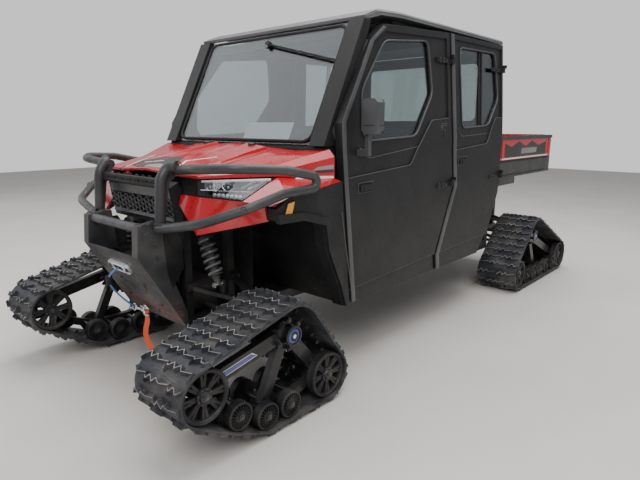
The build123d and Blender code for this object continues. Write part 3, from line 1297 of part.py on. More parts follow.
with BuildPart() as cargo_bed:
    add(block((-BED_HALF_WIDTH, BED_HALF_WIDTH), (925, 1966), (BED_FLOOR_Z, BED_TOP_Z)))
    add(
        block((-BED_INNER, BED_INNER), (925 + BED_WALL, 2000), (BED_FLOOR_Z + BED_FLOOR_THICKNESS, BED_TOP_Z + 10)),
        mode=Mode.SUBTRACT,
    )
    for side in (-1, 1):
        rail = span(side, BED_INNER - 5, BED_HALF_WIDTH + BED_RAIL_OUT)
        add(block(rail, (925, 2010), (BED_TOP_Z - BED_RAIL_HEIGHT, BED_TOP_Z)))
        post = span(side, BED_HALF_WIDTH - BED_POST, BED_HALF_WIDTH)
        add(block(post, (1960, 2010), (BED_FLOOR_Z, BED_TOP_Z)))
        skirt = span(side, BED_HALF_WIDTH - 12, BED_HALF_WIDTH)
        add(block(skirt, (940, 1240), (BED_SKIRT_Z, BED_FLOOR_Z + 10)))
        runner = span(side, RUNNER_X - RUNNER_WIDTH / 2, RUNNER_X + RUNNER_WIDTH / 2)
        add(block(runner, (960, 1830), (TOWER_TOP_Z + SEAT_GAP, BED_FLOOR_Z)))
        barrel_x = side * (RAIL_X + BED_BARREL_X)
        with Locations(Location((barrel_x, BED_PIVOT_Y, BED_PIVOT_Z), (0, 90, 0))):
            Cylinder(BED_BARREL_RADIUS, BED_BARREL_LENGTH)
        with Locations((barrel_x, BED_PIVOT_Y, (BED_PIVOT_Z + BED_FLOOR_Z) / 2)):
            Box(BED_BARREL_LENGTH, 28, BED_FLOOR_Z - BED_PIVOT_Z)
        with Locations(Location((barrel_x, BED_PIVOT_Y, BED_PIVOT_Z), (0, 90, 0))):
            Cylinder(BED_PIN_RADIUS + PIN_CLEARANCE, BED_BARREL_LENGTH + 4, mode=Mode.SUBTRACT)
        post_face = side * (BED_HALF_WIDTH - BED_POST)
        gate_pin_y, gate_pin_z = BED_REAR_Y + GATE_PIN_BACK, BED_FLOOR_Z + GATE_PIN_UP
        root, tip = (post_face + side * 5, gate_pin_y, gate_pin_z), (post_face - side * 26, gate_pin_y, gate_pin_z)
        add(round_bar(root, tip, GATE_PIN_RADIUS))
export(cargo_bed.part, "cargo_bed")

GATE_HALF_WIDTH = BED_HALF_WIDTH - BED_POST - GATE_GAP
with BuildPart() as tailgate:
    add(block((-GATE_HALF_WIDTH, GATE_HALF_WIDTH), (1975, 1975 + GATE_THICKNESS), (BED_FLOOR_Z + 20, BED_TOP_Z - 4)))
    fillet(tailgate.faces().sort_by(Axis.Z)[0].edges().filter_by(Axis.X), GATE_THICKNESS / 2 - 0.5)
    for side in (-1, 1):
        with Locations(Location((side * GATE_HALF_WIDTH, gate_pin_y, gate_pin_z), (0, 90, 0))):
            Cylinder(GATE_PIN_RADIUS + PIN_CLEARANCE, 50, mode=Mode.SUBTRACT)
export(tailgate.part, "tailgate")

with BuildPart() as tail_lamps:
    add(block((BED_HALF_WIDTH - BED_POST + 8, BED_HALF_WIDTH - 6), (2010, 2018), (1010, 1160)))
    mirror(about=Plane.YZ)
export(tail_lamps.part, "tail_lamps")
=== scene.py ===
"""Finishes the tracked utility vehicle: materials, soft parts and small detail over its solids."""
import math

import bmesh
import bpy
from bpy.props import FloatProperty, FloatVectorProperty, PointerProperty
from bpy.types import Operator, Panel, PropertyGroup
from mathutils import Euler, Matrix, Vector
from mathutils.geometry import convex_hull_2d


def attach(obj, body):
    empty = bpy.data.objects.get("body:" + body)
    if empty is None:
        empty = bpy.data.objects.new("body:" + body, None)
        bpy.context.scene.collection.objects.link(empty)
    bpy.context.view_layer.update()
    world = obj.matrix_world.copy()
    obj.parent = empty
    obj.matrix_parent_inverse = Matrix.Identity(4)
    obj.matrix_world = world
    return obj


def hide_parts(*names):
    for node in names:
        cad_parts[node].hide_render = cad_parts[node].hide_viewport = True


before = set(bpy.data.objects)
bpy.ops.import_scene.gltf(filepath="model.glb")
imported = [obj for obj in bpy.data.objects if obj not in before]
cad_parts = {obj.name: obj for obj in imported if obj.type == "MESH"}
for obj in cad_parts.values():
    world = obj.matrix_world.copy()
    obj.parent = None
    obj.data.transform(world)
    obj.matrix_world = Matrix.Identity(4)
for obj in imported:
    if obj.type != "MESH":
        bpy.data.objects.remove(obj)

bl_info = {
    "name": "Tracked utility vehicle",
    "version": (1, 0, 0),
    "blender": (4, 5, 0),
    "location": "View3D > Sidebar > Vehicle",
    "description": "Dresses the solids of a tracked utility vehicle and sets its stage",
    "category": "Object",
}

# Places are in millimetres: across from the middle (+ is the vehicle's left), behind the middle of
# the wheelbase (- is ahead), and above the ground
MID_Y = -0.0695
HALF_BASE = 1435.0
HUB_Z = 410.0
BODY_X = 737.0
ROOF_X = 688.0
BELT_LINE_Z = 1214.0
ROOF_LINE_Z = 1880.0
TRACK_X = 703.0
SIDES = (("left", 1), ("right", -1))
BOTH = (1, -1)
CENTRE = Vector((0, 0, 0))
ACROSS = Vector((1, 0, 0))
UP = Vector((0, 0, 1))


def at(across, behind, height):
    """Return a point in metres from its millimetres."""
    return Vector((across / 1000, behind / 1000 + MID_Y, height / 1000))


def points_at(side, places):
    """Return points on one side from places of across, behind and height."""
    return [at(side * across, behind, height) for across, behind, height in places]


def along(side, across, places):
    """Return points in an upright plane that runs along the vehicle, from behind and height."""
    return [at(side * across, behind, height) for behind, height in places]


def facing(behind, places, side=1):
    """Return points in an upright plane that runs across the vehicle, from across and height."""
    return [at(side * across, behind, height) for across, height in places]


def oblong(low, high):
    """Return the four corners of a rectangle between two of them."""
    return (low, (high[0], low[1]), high, (low[0], high[1]))


def corner_points(before, spot, after, cut, steps):
    """Return points on a curve that cuts off the corner at a spot."""
    start, end = spot + (before - spot).normalized() * cut, spot + (after - spot).normalized() * cut
    shares = [step / steps for step in range(steps + 1)]
    return [start.lerp(spot, share).lerp(spot.lerp(end, share), share) for share in shares]


def round_points(centre, first, second, count, start=0, end=360):
    """Return points round a centre, by its arms at 0 and 90 degrees; a part of a circle has both ends."""
    whole = end - start >= 360
    turns = [math.radians(start + (end - start) * index / count) for index in range(count + (not whole))]
    return [centre + Vector(first) * math.cos(turn) + Vector(second) * math.sin(turn) for turn in turns]


def skin_x(height):
    """Return how far out the body side lies at a height."""
    lean = max(height - BELT_LINE_Z, 0.0) / (ROOF_LINE_Z - BELT_LINE_Z)
    return BODY_X - (BODY_X - ROOF_X) * lean


# Columns: distance behind mid wheelbase, middle height, half width of the hood
HOOD_STATIONS = ((-1612.0, 1112.0, 250.0), (-1450.0, 1146.0, 330.0), (-1045.0, 1221.0, 478.0))


def hood_z(across, behind):
    """Return the height of the hood at a place."""
    for front, rear in zip(HOOD_STATIONS, HOOD_STATIONS[1:]):
        if behind <= rear[0] or rear == HOOD_STATIONS[-1]:
            share = (behind - front[0]) / (rear[0] - front[0])
            return front[1] + (rear[1] - front[1]) * share - 0.06 * abs(across)


# Shapes added to a mesh that is being made


def paint(verts, finish):
    """Give the faces at some points one of the piece's finishes."""
    for face in {face for vert in verts for face in vert.link_faces}:
        face.material_index = finish
    return verts


def block(mesh, low, high, finish=0):
    """Add a box between two corners."""
    size = high - low
    scale = Matrix.Diagonal((abs(size.x), abs(size.y), abs(size.z), 1))
    matrix = Matrix.Translation((low + high) / 2) @ scale
    return paint(bmesh.ops.create_cube(mesh, size=1, matrix=matrix)["verts"], finish)


def rod(mesh, start, end, radius, sides=16, tip=None, finish=0):
    """Add a round bar or a cone between two points."""
    axis = end - start
    turn = axis.to_track_quat("Z", "Y").to_matrix().to_4x4()
    made = bmesh.ops.create_cone(
        mesh,
        cap_ends=True,
        segments=sides,
        radius1=radius,
        radius2=radius if tip is None else tip,
        depth=axis.length,
        matrix=Matrix.Translation((start + end) / 2) @ turn,
    )
    return paint(made["verts"], finish)


def bolt(mesh, place, out, radius, finish=0):
    """Add a hexagonal bolt head on its washer."""
    out = out.normalized()
    rod(mesh, place, place + out * radius * 0.35, radius * 1.6, 12, finish=finish)
    rod(mesh, place, place + out * radius * 1.1, radius, 6, finish=finish)


def plate(mesh, corners, depth, finish=0):
    """Add a plate: a face through its corners, as thick as a vector."""
    verts = [mesh.verts.new(corner) for corner in corners]
    made = bmesh.ops.extrude_face_region(mesh, geom=[mesh.faces.new(verts)])
    moved = [item for item in made["geom"] if isinstance(item, bmesh.types.BMVert)]
    bmesh.ops.translate(mesh, verts=moved, vec=depth)
    return paint(verts + moved, finish)


def sweep(mesh, rings, finish=0, caps=True):
    """Add a tube through outlines of equally many corners, its ends closed."""
    rows = [[mesh.verts.new(corner) for corner in ring] for ring in rings]
    for row in rows:
        for pair in zip(row, row[1:] + row[:1]):
            mesh.edges.new(pair)
    for first, second in zip(rows, rows[1:]):
        edges = [mesh.edges.get(pair) for row in (first, second) for pair in zip(row, row[1:] + row[:1])]
        bmesh.ops.bridge_loops(mesh, edges=edges)
    if caps:
        mesh.faces.new(rows[0])
        mesh.faces.new(rows[-1])
    return paint([vert for row in rows for vert in row], finish)


def bar(mesh, start, end, finish=0):
    """Add a bar that joins two outlines."""
    return sweep(mesh, (start, end), finish)


def made_template(mesh, name):
    """Turn a mesh that is being made into a ready mesh, its faces outward."""
    bmesh.ops.recalc_face_normals(mesh, faces=mesh.faces)
    for face in mesh.faces:
        face.smooth = True
    data = bpy.data.meshes.new(name)
    mesh.to_mesh(data)
    mesh.free()
    return data


def turned(mesh, profile, centre, axis, steps=32, finish=0):
    """Add a turned shape: a profile of (radius, distance along) spun round an axis."""
    turn = axis.to_track_quat("Z", "Y").to_matrix()
    verts = [mesh.verts.new(centre + turn @ Vector((radius, 0, way))) for radius, way in profile]
    edges = [mesh.edges.new(pair) for pair in zip(verts, verts[1:] + verts[:1])]
    known = set(mesh.faces)
    bmesh.ops.spin(
        mesh, geom=verts + edges, cent=centre, axis=axis, angle=math.tau, steps=steps, use_merge=True
    )
    for face in mesh.faces:
        if face not in known:
            face.material_index = finish


def bead(mesh, points, radius, closed=False, finish=0, fineness=2):
    """Add a round bead along points."""
    data = bpy.data.curves.new("bead", "CURVE")
    data.dimensions = "3D"
    data.bevel_depth = radius
    data.bevel_resolution = fineness
    data.use_fill_caps = True
    spline = data.splines.new("POLY")
    spline.points.add(len(points) - 1)
    for spot, point in zip(spline.points, points):
        spot.co = (*point, 1)
    spline.use_cyclic_u = closed
    holder = bpy.data.objects.new("bead", data)
    surface = bpy.data.meshes.new_from_object(holder)
    for polygon in surface.polygons:
        polygon.material_index = finish
    mesh.from_mesh(surface)
    bpy.data.objects.remove(holder)
    bpy.data.curves.remove(data)
    bpy.data.meshes.remove(surface)


def place_copy(mesh, template, matrix):
    """Add a copy of a ready mesh, moved by a matrix."""
    placed = template.copy()
    placed.transform(matrix)
    mesh.from_mesh(placed)
    bpy.data.meshes.remove(placed)


def mirrored(mesh):
    """Add the mirror image of a mesh on the vehicle's other side."""
    geometry = mesh.verts[:] + mesh.edges[:] + mesh.faces[:]
    made = bmesh.ops.duplicate(mesh, geom=geometry)
    verts = [item for item in made["geom"] if isinstance(item, bmesh.types.BMVert)]
    bmesh.ops.scale(mesh, vec=(-1, 1, 1), verts=verts)


def finish_piece(mesh, name, body, finishes, replaces=(), bevel=0.0, sharp=35.0):
    """Turn a mesh that is being made into a piece that rides on a body."""
    data = made_template(mesh, name)
    data.set_sharp_from_angle(angle=math.radians(sharp))
    made = bpy.data.objects.new(name, data)
    bpy.context.scene.collection.objects.link(made)
    for finish in finishes:
        data.materials.append(material(finish))
    if bevel:
        edge = made.modifiers.new("edges", "BEVEL")
        edge.width = bevel
        edge.segments = 2
        edge.limit_method = "ANGLE"
        edge.angle_limit = math.radians(40)
        edge.harden_normals = True
    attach(made, body)
    if replaces:
        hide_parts(*replaces)
    return made


# Finishes


def tint(red, green, blue):
    """Return an opaque colour."""
    return (red, green, blue, 1.0)


DUST = tint(0.33, 0.29, 0.24)

# Columns: colour, second colour, roughness, spread of roughness, metallic, coat, grain per metre,
# depth of the grain in metres, dust near the ground, how far edges look rounded in metres
FINISHES = {
    "door_dark": ((0.014, 0.014, 0.015), (0.018, 0.018, 0.019), 0.44, 0.05, 0.0, 0.0, 900, 0.00012, 0.05, 0.005),
    "trim_black": ((0.012, 0.012, 0.013), (0.018, 0.018, 0.020), 0.55, 0.08, 0.0, 0.0, 700, 0.0003, 0.08, 0.003),
    # trim_edge: dark grey trim; on the doors' creases, kick lines, window frames and lips it is a painted
    # highlight along the edges
    "trim_edge": ((0.055, 0.056, 0.060), (0.075, 0.076, 0.080), 0.38, 0.08, 0.0, 0.1, 600, 0.0001, 0.1, 0.0),
    "bar_black": ((0.028, 0.029, 0.032), (0.045, 0.046, 0.050), 0.48, 0.14, 0.1, 0.1, 800, 0.0003, 0.35, 0.004),
    "frame_black": ((0.010, 0.010, 0.011), (0.016, 0.016, 0.018), 0.45, 0.12, 0.0, 0.0, 500, 0.0003, 0.14, 0.003),
    "roof_grey": ((0.105, 0.108, 0.114), (0.135, 0.138, 0.145), 0.52, 0.10, 0.0, 0.1, 700, 0.0003, 0.05, 0.006),
    "wheel_black": ((0.012, 0.012, 0.013), (0.019, 0.019, 0.021), 0.50, 0.10, 0.0, 0.0, 400, 0.0003, 0.16, 0.0),
    "hub_black": ((0.012, 0.012, 0.014), (0.020, 0.020, 0.023), 0.36, 0.10, 0.0, 0.2, 500, 0.0002, 0.12, 0.0),
    "belt_worn": ((0.15, 0.15, 0.155), (0.36, 0.35, 0.33), 0.80, 0.10, 0.0, 0.0, 320, 0.0009, 0.35, 0.0),
    "steel": ((0.42, 0.42, 0.43), (0.30, 0.30, 0.31), 0.34, 0.12, 0.9, 0.0, 700, 0.0001, 0.15, 0.001),
    "bolt_dark": ((0.10, 0.10, 0.105), (0.06, 0.06, 0.063), 0.40, 0.10, 0.6, 0.0, 700, 0.0001, 0.2, 0.001),
    "bright_steel": ((0.72, 0.73, 0.75), (0.60, 0.61, 0.63), 0.22, 0.08, 1.0, 0.0, 400, 0.00005, 0.0, 0.001),
    "alloy": ((0.86, 0.87, 0.90), (0.76, 0.77, 0.80), 0.42, 0.06, 0.7, 0.0, 500, 0.00005, 0.0, 0.002),
    "cast": ((0.045, 0.045, 0.047), (0.075, 0.073, 0.070), 0.58, 0.12, 0.5, 0.0, 300, 0.0008, 0.20, 0.003),
    "rubber_black": ((0.012, 0.012, 0.013), (0.022, 0.022, 0.024), 0.62, 0.08, 0.0, 0.0, 500, 0.0001, 0.10, 0.0),
    "lens_amber": ((0.85, 0.34, 0.01), (0.95, 0.45, 0.02), 0.16, 0.03, 0.0, 1.0, 260, 0.0006, 0.0, 0.002),
    "lens_red": ((0.50, 0.008, 0.012), (0.62, 0.015, 0.02), 0.14, 0.03, 0.0, 1.0, 260, 0.0006, 0.0, 0.002),
    "reflector": ((0.78, 0.79, 0.80), (0.55, 0.56, 0.58), 0.14, 0.06, 1.0, 0.0, 120, 0.0006, 0.0, 0.0),
    "lamp_white": ((0.86, 0.88, 0.90), (0.80, 0.82, 0.85), 0.25, 0.05, 0.0, 0.5, 200, 0.0002, 0.0, 0.0),
    "spring_grey": ((0.16, 0.16, 0.165), (0.10, 0.10, 0.105), 0.38, 0.08, 0.3, 0.2, 500, 0.0001, 0.25, 0.0),
    "decal_dark": ((0.030, 0.028, 0.028), (0.046, 0.042, 0.041), 0.50, 0.06, 0.0, 0.1, 60, 0.00004, 0.0, 0.0),
    "decal_white": ((0.84, 0.82, 0.82), (0.78, 0.76, 0.76), 0.50, 0.05, 0.0, 0.1, 60, 0.00004, 0.05, 0.0),
    "decal_grey": ((0.30, 0.28, 0.29), (0.24, 0.22, 0.23), 0.50, 0.05, 0.0, 0.1, 60, 0.00004, 0.05, 0.0),
    "decal_blue": ((0.055, 0.075, 0.32), (0.045, 0.06, 0.26), 0.30, 0.05, 0.0, 0.5, 60, 0.00004, 0.2, 0.0),
    "red_trim": ((0.58, 0.014, 0.022), (0.52, 0.012, 0.020), 0.26, 0.06, 0.0, 0.9, 120, 0.00006, 0.10, 0.003),
    "lip_grey": ((0.050, 0.052, 0.056), (0.072, 0.074, 0.080), 0.42, 0.08, 0.2, 0.0, 500, 0.0002, 0.2, 0.0),
    # dark_inside: near-black housings, and painted shade in openings: the engine bay, the fairlead's slot, behind
    # the grille
    "dark_inside": ((0.006, 0.006, 0.007), (0.010, 0.010, 0.011), 0.85, 0.08, 0.0, 0.0, 300, 0.0003, 0.1, 0.0),
}


class Graph:
    """The nodes of one material, with its own coordinates."""

    def __init__(self, name):
        self.material = bpy.data.materials.new(name)
        self.material.use_nodes = True
        self.tree = self.material.node_tree
        self.surface = self.tree.nodes["Principled BSDF"]
        self.output = self.tree.nodes["Material Output"]
        self.places = self.add("ShaderNodeTexCoord").outputs["Object"]

    def add(self, kind, inputs=None, **settings):
        """Add a node with its settings, and join or set its inputs."""
        node = self.tree.nodes.new(kind)
        for key, value in settings.items():
            setattr(node, key, value)
        for key, value in (inputs or {}).items():
            if isinstance(value, bpy.types.NodeSocket):
                self.tree.links.new(value, node.inputs[key])
            else:
                node.inputs[key].default_value = value
        return node

    def noise(self, scale, detail=4.0, places=None):
        """Return a noise of so many waves a metre."""
        inputs = {"Vector": places or self.places, "Scale": scale, "Detail": detail}
        return self.add("ShaderNodeTexNoise", inputs).outputs["Fac"]

    def between(self, value, low, high, new_low=0.0, new_high=1.0, smooth=False):
        """Return a value stretched from one range to another, held at its ends."""
        inputs = {"Value": value, "From Min": low, "From Max": high, "To Min": new_low, "To Max": new_high}
        kind = "SMOOTHSTEP" if smooth else "LINEAR"
        return self.add("ShaderNodeMapRange", inputs, interpolation_type=kind).outputs["Result"]

    def blend(self, share, first, second):
        """Return a colour between two."""
        node = self.add("ShaderNodeMix", {0: share, 6: first, 7: second}, data_type="RGBA")
        return node.outputs[2]

    def mottle(self, waves, detail, low, high, first, second):
        """Return a colour in patches of two."""
        return self.blend(self.between(self.noise(waves, detail), low, high), tint(*first), tint(*second))

    def mapped(self, **settings):
        """Return the coordinates, turned or scaled."""
        return self.add("ShaderNodeMapping", {"Vector": self.places, **settings}).outputs[0]

    def math(self, operation, first, second=0.0):
        """Return the result of a sum on one or two values."""
        return self.add("ShaderNodeMath", {0: first, 1: second}, operation=operation).outputs[0]

    def axes(self):
        """Return the three coordinates of a place."""
        return self.add("ShaderNodeSeparateXYZ", {0: self.places}).outputs

    def set(self, **values):
        """Set or join inputs of the surface, named with underscores for spaces."""
        for key, value in values.items():
            socket = self.surface.inputs[key.replace("_", " ")]
            if isinstance(value, bpy.types.NodeSocket):
                self.tree.links.new(value, socket)
            else:
                socket.default_value = value

    def bump(self, height, depth, rounding=0.0):
        """Join a relief of a real depth, over edges that look rounded."""
        inputs = {"Height": height, "Strength": 1.0, "Distance": depth}
        if rounding:
            inputs["Normal"] = self.add("ShaderNodeBevel", {"Radius": rounding}, samples=4).outputs[0]
        self.set(Normal=self.add("ShaderNodeBump", inputs).outputs["Normal"])

    def dusty(self, colour, amount):
        """Return a colour with dust that thickens towards the ground."""
        height = self.axes()[2]
        low = self.between(height, 1.3, 0.1, 0.12, 1.0)
        patches = self.between(self.noise(7.0, 8.0), 0.42, 0.72)
        share = self.math("MULTIPLY", self.math("MULTIPLY", low, patches), amount)
        return self.blend(share, colour, DUST)


def plain_finish(name):
    """Make one of the finishes in the table."""
    colour, second, rough, spread, metallic, coat, grain, depth, dust, rounding = FINISHES[name]
    graph = Graph(name)
    shade = graph.mottle(5.0, 6.0, 0.35, 0.65, colour, second)
    if dust:
        shade = graph.dusty(shade, dust)
    marks = graph.between(graph.noise(38.0, 5.0), 0.3, 0.7, rough - spread, rough + spread)
    shine = 0.30 if max(colour) < 0.03 and not metallic else 0.5
    graph.set(Base_Color=shade, Roughness=marks, Metallic=metallic, Coat_Weight=coat, Coat_Roughness=0.12)
    graph.set(Specular_IOR_Level=shine)
    graph.bump(graph.noise(float(grain), 3.0), depth, rounding)
    return graph.material


def body_red(graph):
    """Return the body's red in its two slight shades."""
    colours = bpy.context.scene.vehicle_colours
    return graph.mottle(1.6, 3.0, 0.3, 0.7, colours.paint, colours.paint_shade)


def paint_finish(name):
    """Make the body's gloss red under its clear coat."""
    graph = Graph(name)
    shade = graph.dusty(body_red(graph), 0.05)
    marks = graph.between(graph.noise(24.0, 5.0), 0.35, 0.7, 0.26, 0.32)
    graph.set(Base_Color=shade, Roughness=marks, Coat_Weight=0.6, Coat_Roughness=0.08)
    graph.bump(graph.noise(900.0, 2.0), 0.000004, 0.005)
    return graph.material


def bed_finish(name):
    """Make the cargo bed's finish: black rail, red upper panel, dark lower panel."""
    graph = Graph(name)
    across, _, height = graph.axes()
    dark = graph.mottle(9.0, 5.0, 0.35, 0.65, (0.02, 0.02, 0.021), (0.034, 0.034, 0.036))
    upper = graph.math("GREATER_THAN", height, 1.047)
    rail = graph.math("GREATER_THAN", height, 1.206)
    outer = graph.math("GREATER_THAN", graph.math("ABSOLUTE", across), 0.668)
    panel = graph.math("MULTIPLY", graph.math("MULTIPLY", upper, outer), graph.math("SUBTRACT", 1.0, rail))
    shade = graph.dusty(graph.blend(panel, dark, body_red(graph)), 0.30)
    rough = graph.between(panel, 0.0, 1.0, 0.52, 0.24)
    graph.set(Base_Color=shade, Roughness=rough, Coat_Weight=0.3, Coat_Roughness=0.08)
    graph.bump(graph.noise(500.0, 3.0), 0.00015, 0.004)
    return graph.material


def bar_finish(name):
    """Make the bull bar's powder coat, worn to red-brown primer at the lower tip of its sheet."""
    graph = Graph(name)
    _, behind, height = graph.axes()
    colour = graph.mottle(6.0, 6.0, 0.35, 0.65, (0.026, 0.027, 0.030), (0.042, 0.043, 0.047))
    low = graph.between(height, 0.50, 0.37)
    streaks = graph.between(graph.noise(9.0, 8.0, graph.mapped(Scale=(3.0, 1.0, 14.0))), 0.46, 0.56)
    ahead = graph.between(behind, -1.675, -1.70)
    worn = graph.math("MULTIPLY", graph.math("MULTIPLY", low, streaks), ahead)
    shade = graph.blend(worn, graph.dusty(colour, 0.30), tint(0.24, 0.075, 0.055))
    marks = graph.between(graph.noise(32.0, 6.0), 0.3, 0.7, 0.36, 0.58)
    graph.set(Base_Color=shade, Roughness=marks, Coat_Weight=0.1, Coat_Roughness=0.2)
    graph.bump(graph.noise(800.0, 3.0), 0.0003, 0.004)
    return graph.material


def glass_finish(name, colour, roughness, see_through):
    """Make a clear sheet: it lets part of the light through and reflects the rest at a slant."""
    graph = Graph(name)
    clear = graph.add("ShaderNodeBsdfTransparent", {"Color": tint(*colour)})
    smears = graph.between(graph.noise(11.0, 6.0), 0.45, 0.75, roughness, roughness + 0.05)
    shine = graph.add("ShaderNodeBsdfGlossy", {"Color": tint(0.9, 0.92, 0.94), "Roughness": smears})
    slant = graph.add("ShaderNodeLayerWeight", {"Blend": 0.5}).outputs["Facing"]
    share = graph.between(graph.math("POWER", slant, 4.0), 0.0, 1.0, 1.0 - see_through, 1.0)
    sheet = graph.add("ShaderNodeMixShader", {0: share, 1: clear.outputs[0], 2: shine.outputs[0]})
    graph.tree.links.new(sheet.outputs[0], graph.output.inputs["Surface"])
    graph.tree.nodes.remove(graph.surface)
    return graph.material


def cord_finish(name, colour, second, weave, depth, sheen):
    """Make a woven cord or webbing, its threads slanting both ways."""
    graph = Graph(name)
    waves = []
    for turn in ((0.6, 0.5, 0.8), (-0.6, 0.7, -0.8)):
        inputs = {"Vector": graph.mapped(Rotation=turn), "Scale": weave, "Distortion": 0.6}
        waves.append(graph.add("ShaderNodeTexWave", inputs).outputs["Fac"])
    threads = graph.math("MULTIPLY", *waves)
    fading = graph.between(graph.noise(40.0, 4.0), 0.35, 0.7, 0.0, 0.5)
    share = graph.math("MAXIMUM", graph.between(threads, 0.1, 0.7, 0.4, 0.0), fading)
    shade = graph.blend(share, tint(*colour), tint(*second))
    graph.set(Base_Color=shade, Roughness=0.7, Sheen_Weight=sheen)
    graph.bump(threads, depth)
    return graph.material


def belt_finish(name):
    """Make the belts' rubber: fine moulded ridges across, scuffed and dusty patches."""
    graph = Graph(name)
    inputs = {"Vector": graph.mapped(Scale=(0.12, 1.0, 1.0)), "Scale": 150.0}
    ridges = graph.add("ShaderNodeTexVoronoi", inputs, feature="F1").outputs["Distance"]
    patches = graph.between(graph.noise(14.0, 8.0), 0.38, 0.66)
    low, high = tint(0.024, 0.026, 0.032), tint(0.060, 0.063, 0.075)
    shade = graph.blend(graph.math("MULTIPLY", patches, graph.between(ridges, 0.1, 0.6, 1.0, 0.3)), low, high)
    graph.set(Base_Color=graph.dusty(shade, 0.25), Roughness=graph.between(patches, 0.0, 1.0, 0.52, 0.74))
    graph.set(Specular_IOR_Level=0.4)
    graph.bump(graph.between(ridges, 0.0, 0.5, 1.0, 0.0, smooth=True), 0.0022)
    return graph.material


def vinyl_finish(name):
    """Make the seats' grained vinyl in two slight shades."""
    graph = Graph(name)
    inputs = {"Vector": graph.places, "Scale": 420.0}
    cells = graph.add("ShaderNodeTexVoronoi", inputs).outputs["Distance"]
    shade = graph.mottle(8.0, 5.0, 0.35, 0.7, (0.030, 0.030, 0.032), (0.052, 0.052, 0.055))
    rough = graph.between(cells, 0.0, 0.6, 0.62, 0.46)
    graph.set(Base_Color=shade, Roughness=rough, Sheen_Weight=0.15)
    graph.bump(cells, 0.0005)
    return graph.material


# Finishes that aren't in the table: each one's maker and its settings
SPECIAL_FINISHES = {
    "red_paint": (paint_finish,),
    "bed_paint": (bed_finish,),
    "bar_coat": (bar_finish,),
    "belt_rubber": (belt_finish,),
    "seat_vinyl": (vinyl_finish,),
    "clear_glass": (glass_finish, (0.74, 0.79, 0.79), 0.02, 0.90),
    "door_glass": (glass_finish, (0.66, 0.70, 0.70), 0.02, 0.92),
    "lens_clear": (glass_finish, (0.90, 0.91, 0.92), 0.02, 0.97),
    "mirror_glass": (glass_finish, (0.02, 0.02, 0.02), 0.01, 0.05),
    "blue_rope": (cord_finish, (0.035, 0.17, 0.55), (0.10, 0.32, 0.72), 190.0, 0.0006, 0.3),
    "orange_strap": (cord_finish, (0.80, 0.085, 0.02), (0.90, 0.16, 0.04), 260.0, 0.0004, 0.4),
}
made_finishes = {}


def material(name):
    """Return a finish by its name, made once."""
    if name not in made_finishes:
        maker, *settings = SPECIAL_FINISHES.get(name, (plain_finish,))
        made_finishes[name] = maker(name, *settings)
    return made_finishes[name]


# Each finish and the solids that have it
SOLID_FINISHES = {
    "frame_black": "chassis_frame suspension_arms hitch_receiver winch cab_cage",
    "trim_black": "skid_plate cowl grille lower_fenders cab_floor dashboard light_bar",
    "cast": "engine_block axles rear_knuckles front_left_knuckle front_right_knuckle",
    "hub_black": "rear_track_frames front_left_track_frame front_right_track_frame",
    "bar_coat": "bull_bar",
    "alloy": "fairlead",
    "red_paint": "front_fenders hood tailgate",
    "lens_amber": "side_markers",
    "roof_grey": "roof",
    "clear_glass": "windshield rear_window",
    "door_dark": "pillar_covers rear_wall front_left_door front_right_door rear_left_door rear_right_door",
    "trim_edge": "side_mirror",
    "door_glass": "front_left_window front_right_window rear_left_window rear_right_window",
    "bed_paint": "cargo_bed",
    "lens_red": "tail_lamps",
    "rubber_black": "steering_wheel wiper",
    "dark_inside": "headlights",
}


class VehicleFinishes(Operator):
    """Give every solid that shows its own finish"""

    bl_idname = "vehicle.finishes"
    bl_label = "Finish the solids"

    def execute(self, context):
        for finish, nodes in SOLID_FINISHES.items():
            for node in nodes.split():
                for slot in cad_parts[node].material_slots:
                    slot.material = material(finish)
        return {"FINISHED"}


# The bull bar's middle sheet: its outward and upward directions and the fairlead's middle on it
SHEET_OUT = Vector((0.0, -0.85924, -0.51161))
SHEET_UP = Vector((0.0, -0.51161, 0.85924))
SHEET_MIDDLE = Vector((0.0, -1780.41, 648.0))

# Cords: the winch rope and the pull strap follow the same points as their solids
ROPE_ROOT = Vector((-5.0, -1780.41, 648.0)) + SHEET_OUT * 0.3
ROPE_POINTS = (
    tuple(ROPE_ROOT), tuple(ROPE_ROOT + SHEET_OUT * 28), (-42.0, -1814.0, 608.0), (-88.0, -1808.0, 572.0),
    (-106.0, -1790.0, 520.0), (-112.0, -1752.0, 470.0), (-120.0, -1708.0, 420.0), (-128.0, -1672.0, 386.0),
)
STRAP_POINTS = (
    (-42.0, -1640.0, 372.0), (-32.0, -1642.0, 322.0), (-62.0, -1640.0, 272.0), (-74.0, -1640.0, 222.0),
    (-44.0, -1640.0, 180.0), (0.0, -1638.0, 152.0),
)
ROPE_RADIUS = 0.005
STRAP_HALF_WIDTH = 0.0135
STRAP_HALF_THICKNESS = 0.0016


def cord_curve(name, points, radius):
    """Return a smooth open curve through the pull of its points."""
    data = bpy.data.curves.new(name, "CURVE")
    data.dimensions = "3D"
    data.resolution_u = 16
    data.bevel_depth = radius
    data.bevel_resolution = 4
    data.use_fill_caps = True
    spline = data.splines.new("NURBS")
    spline.points.add(len(points) - 1)
    for spot, point in zip(spline.points, points):
        spot.co = (*at(*point), 1)
    spline.order_u = 3
    spline.use_endpoint_u = True
    return bpy.data.objects.new(name, data)


def strap_path():
    """Return the points along the middle of the strap."""
    line = cord_curve("strap_line", STRAP_POINTS, 0.0)
    path = bpy.data.meshes.new_from_object(line)
    way = [vert.co.copy() for vert in path.vertices]
    bpy.data.objects.remove(line)
    bpy.data.meshes.remove(path)
    return way


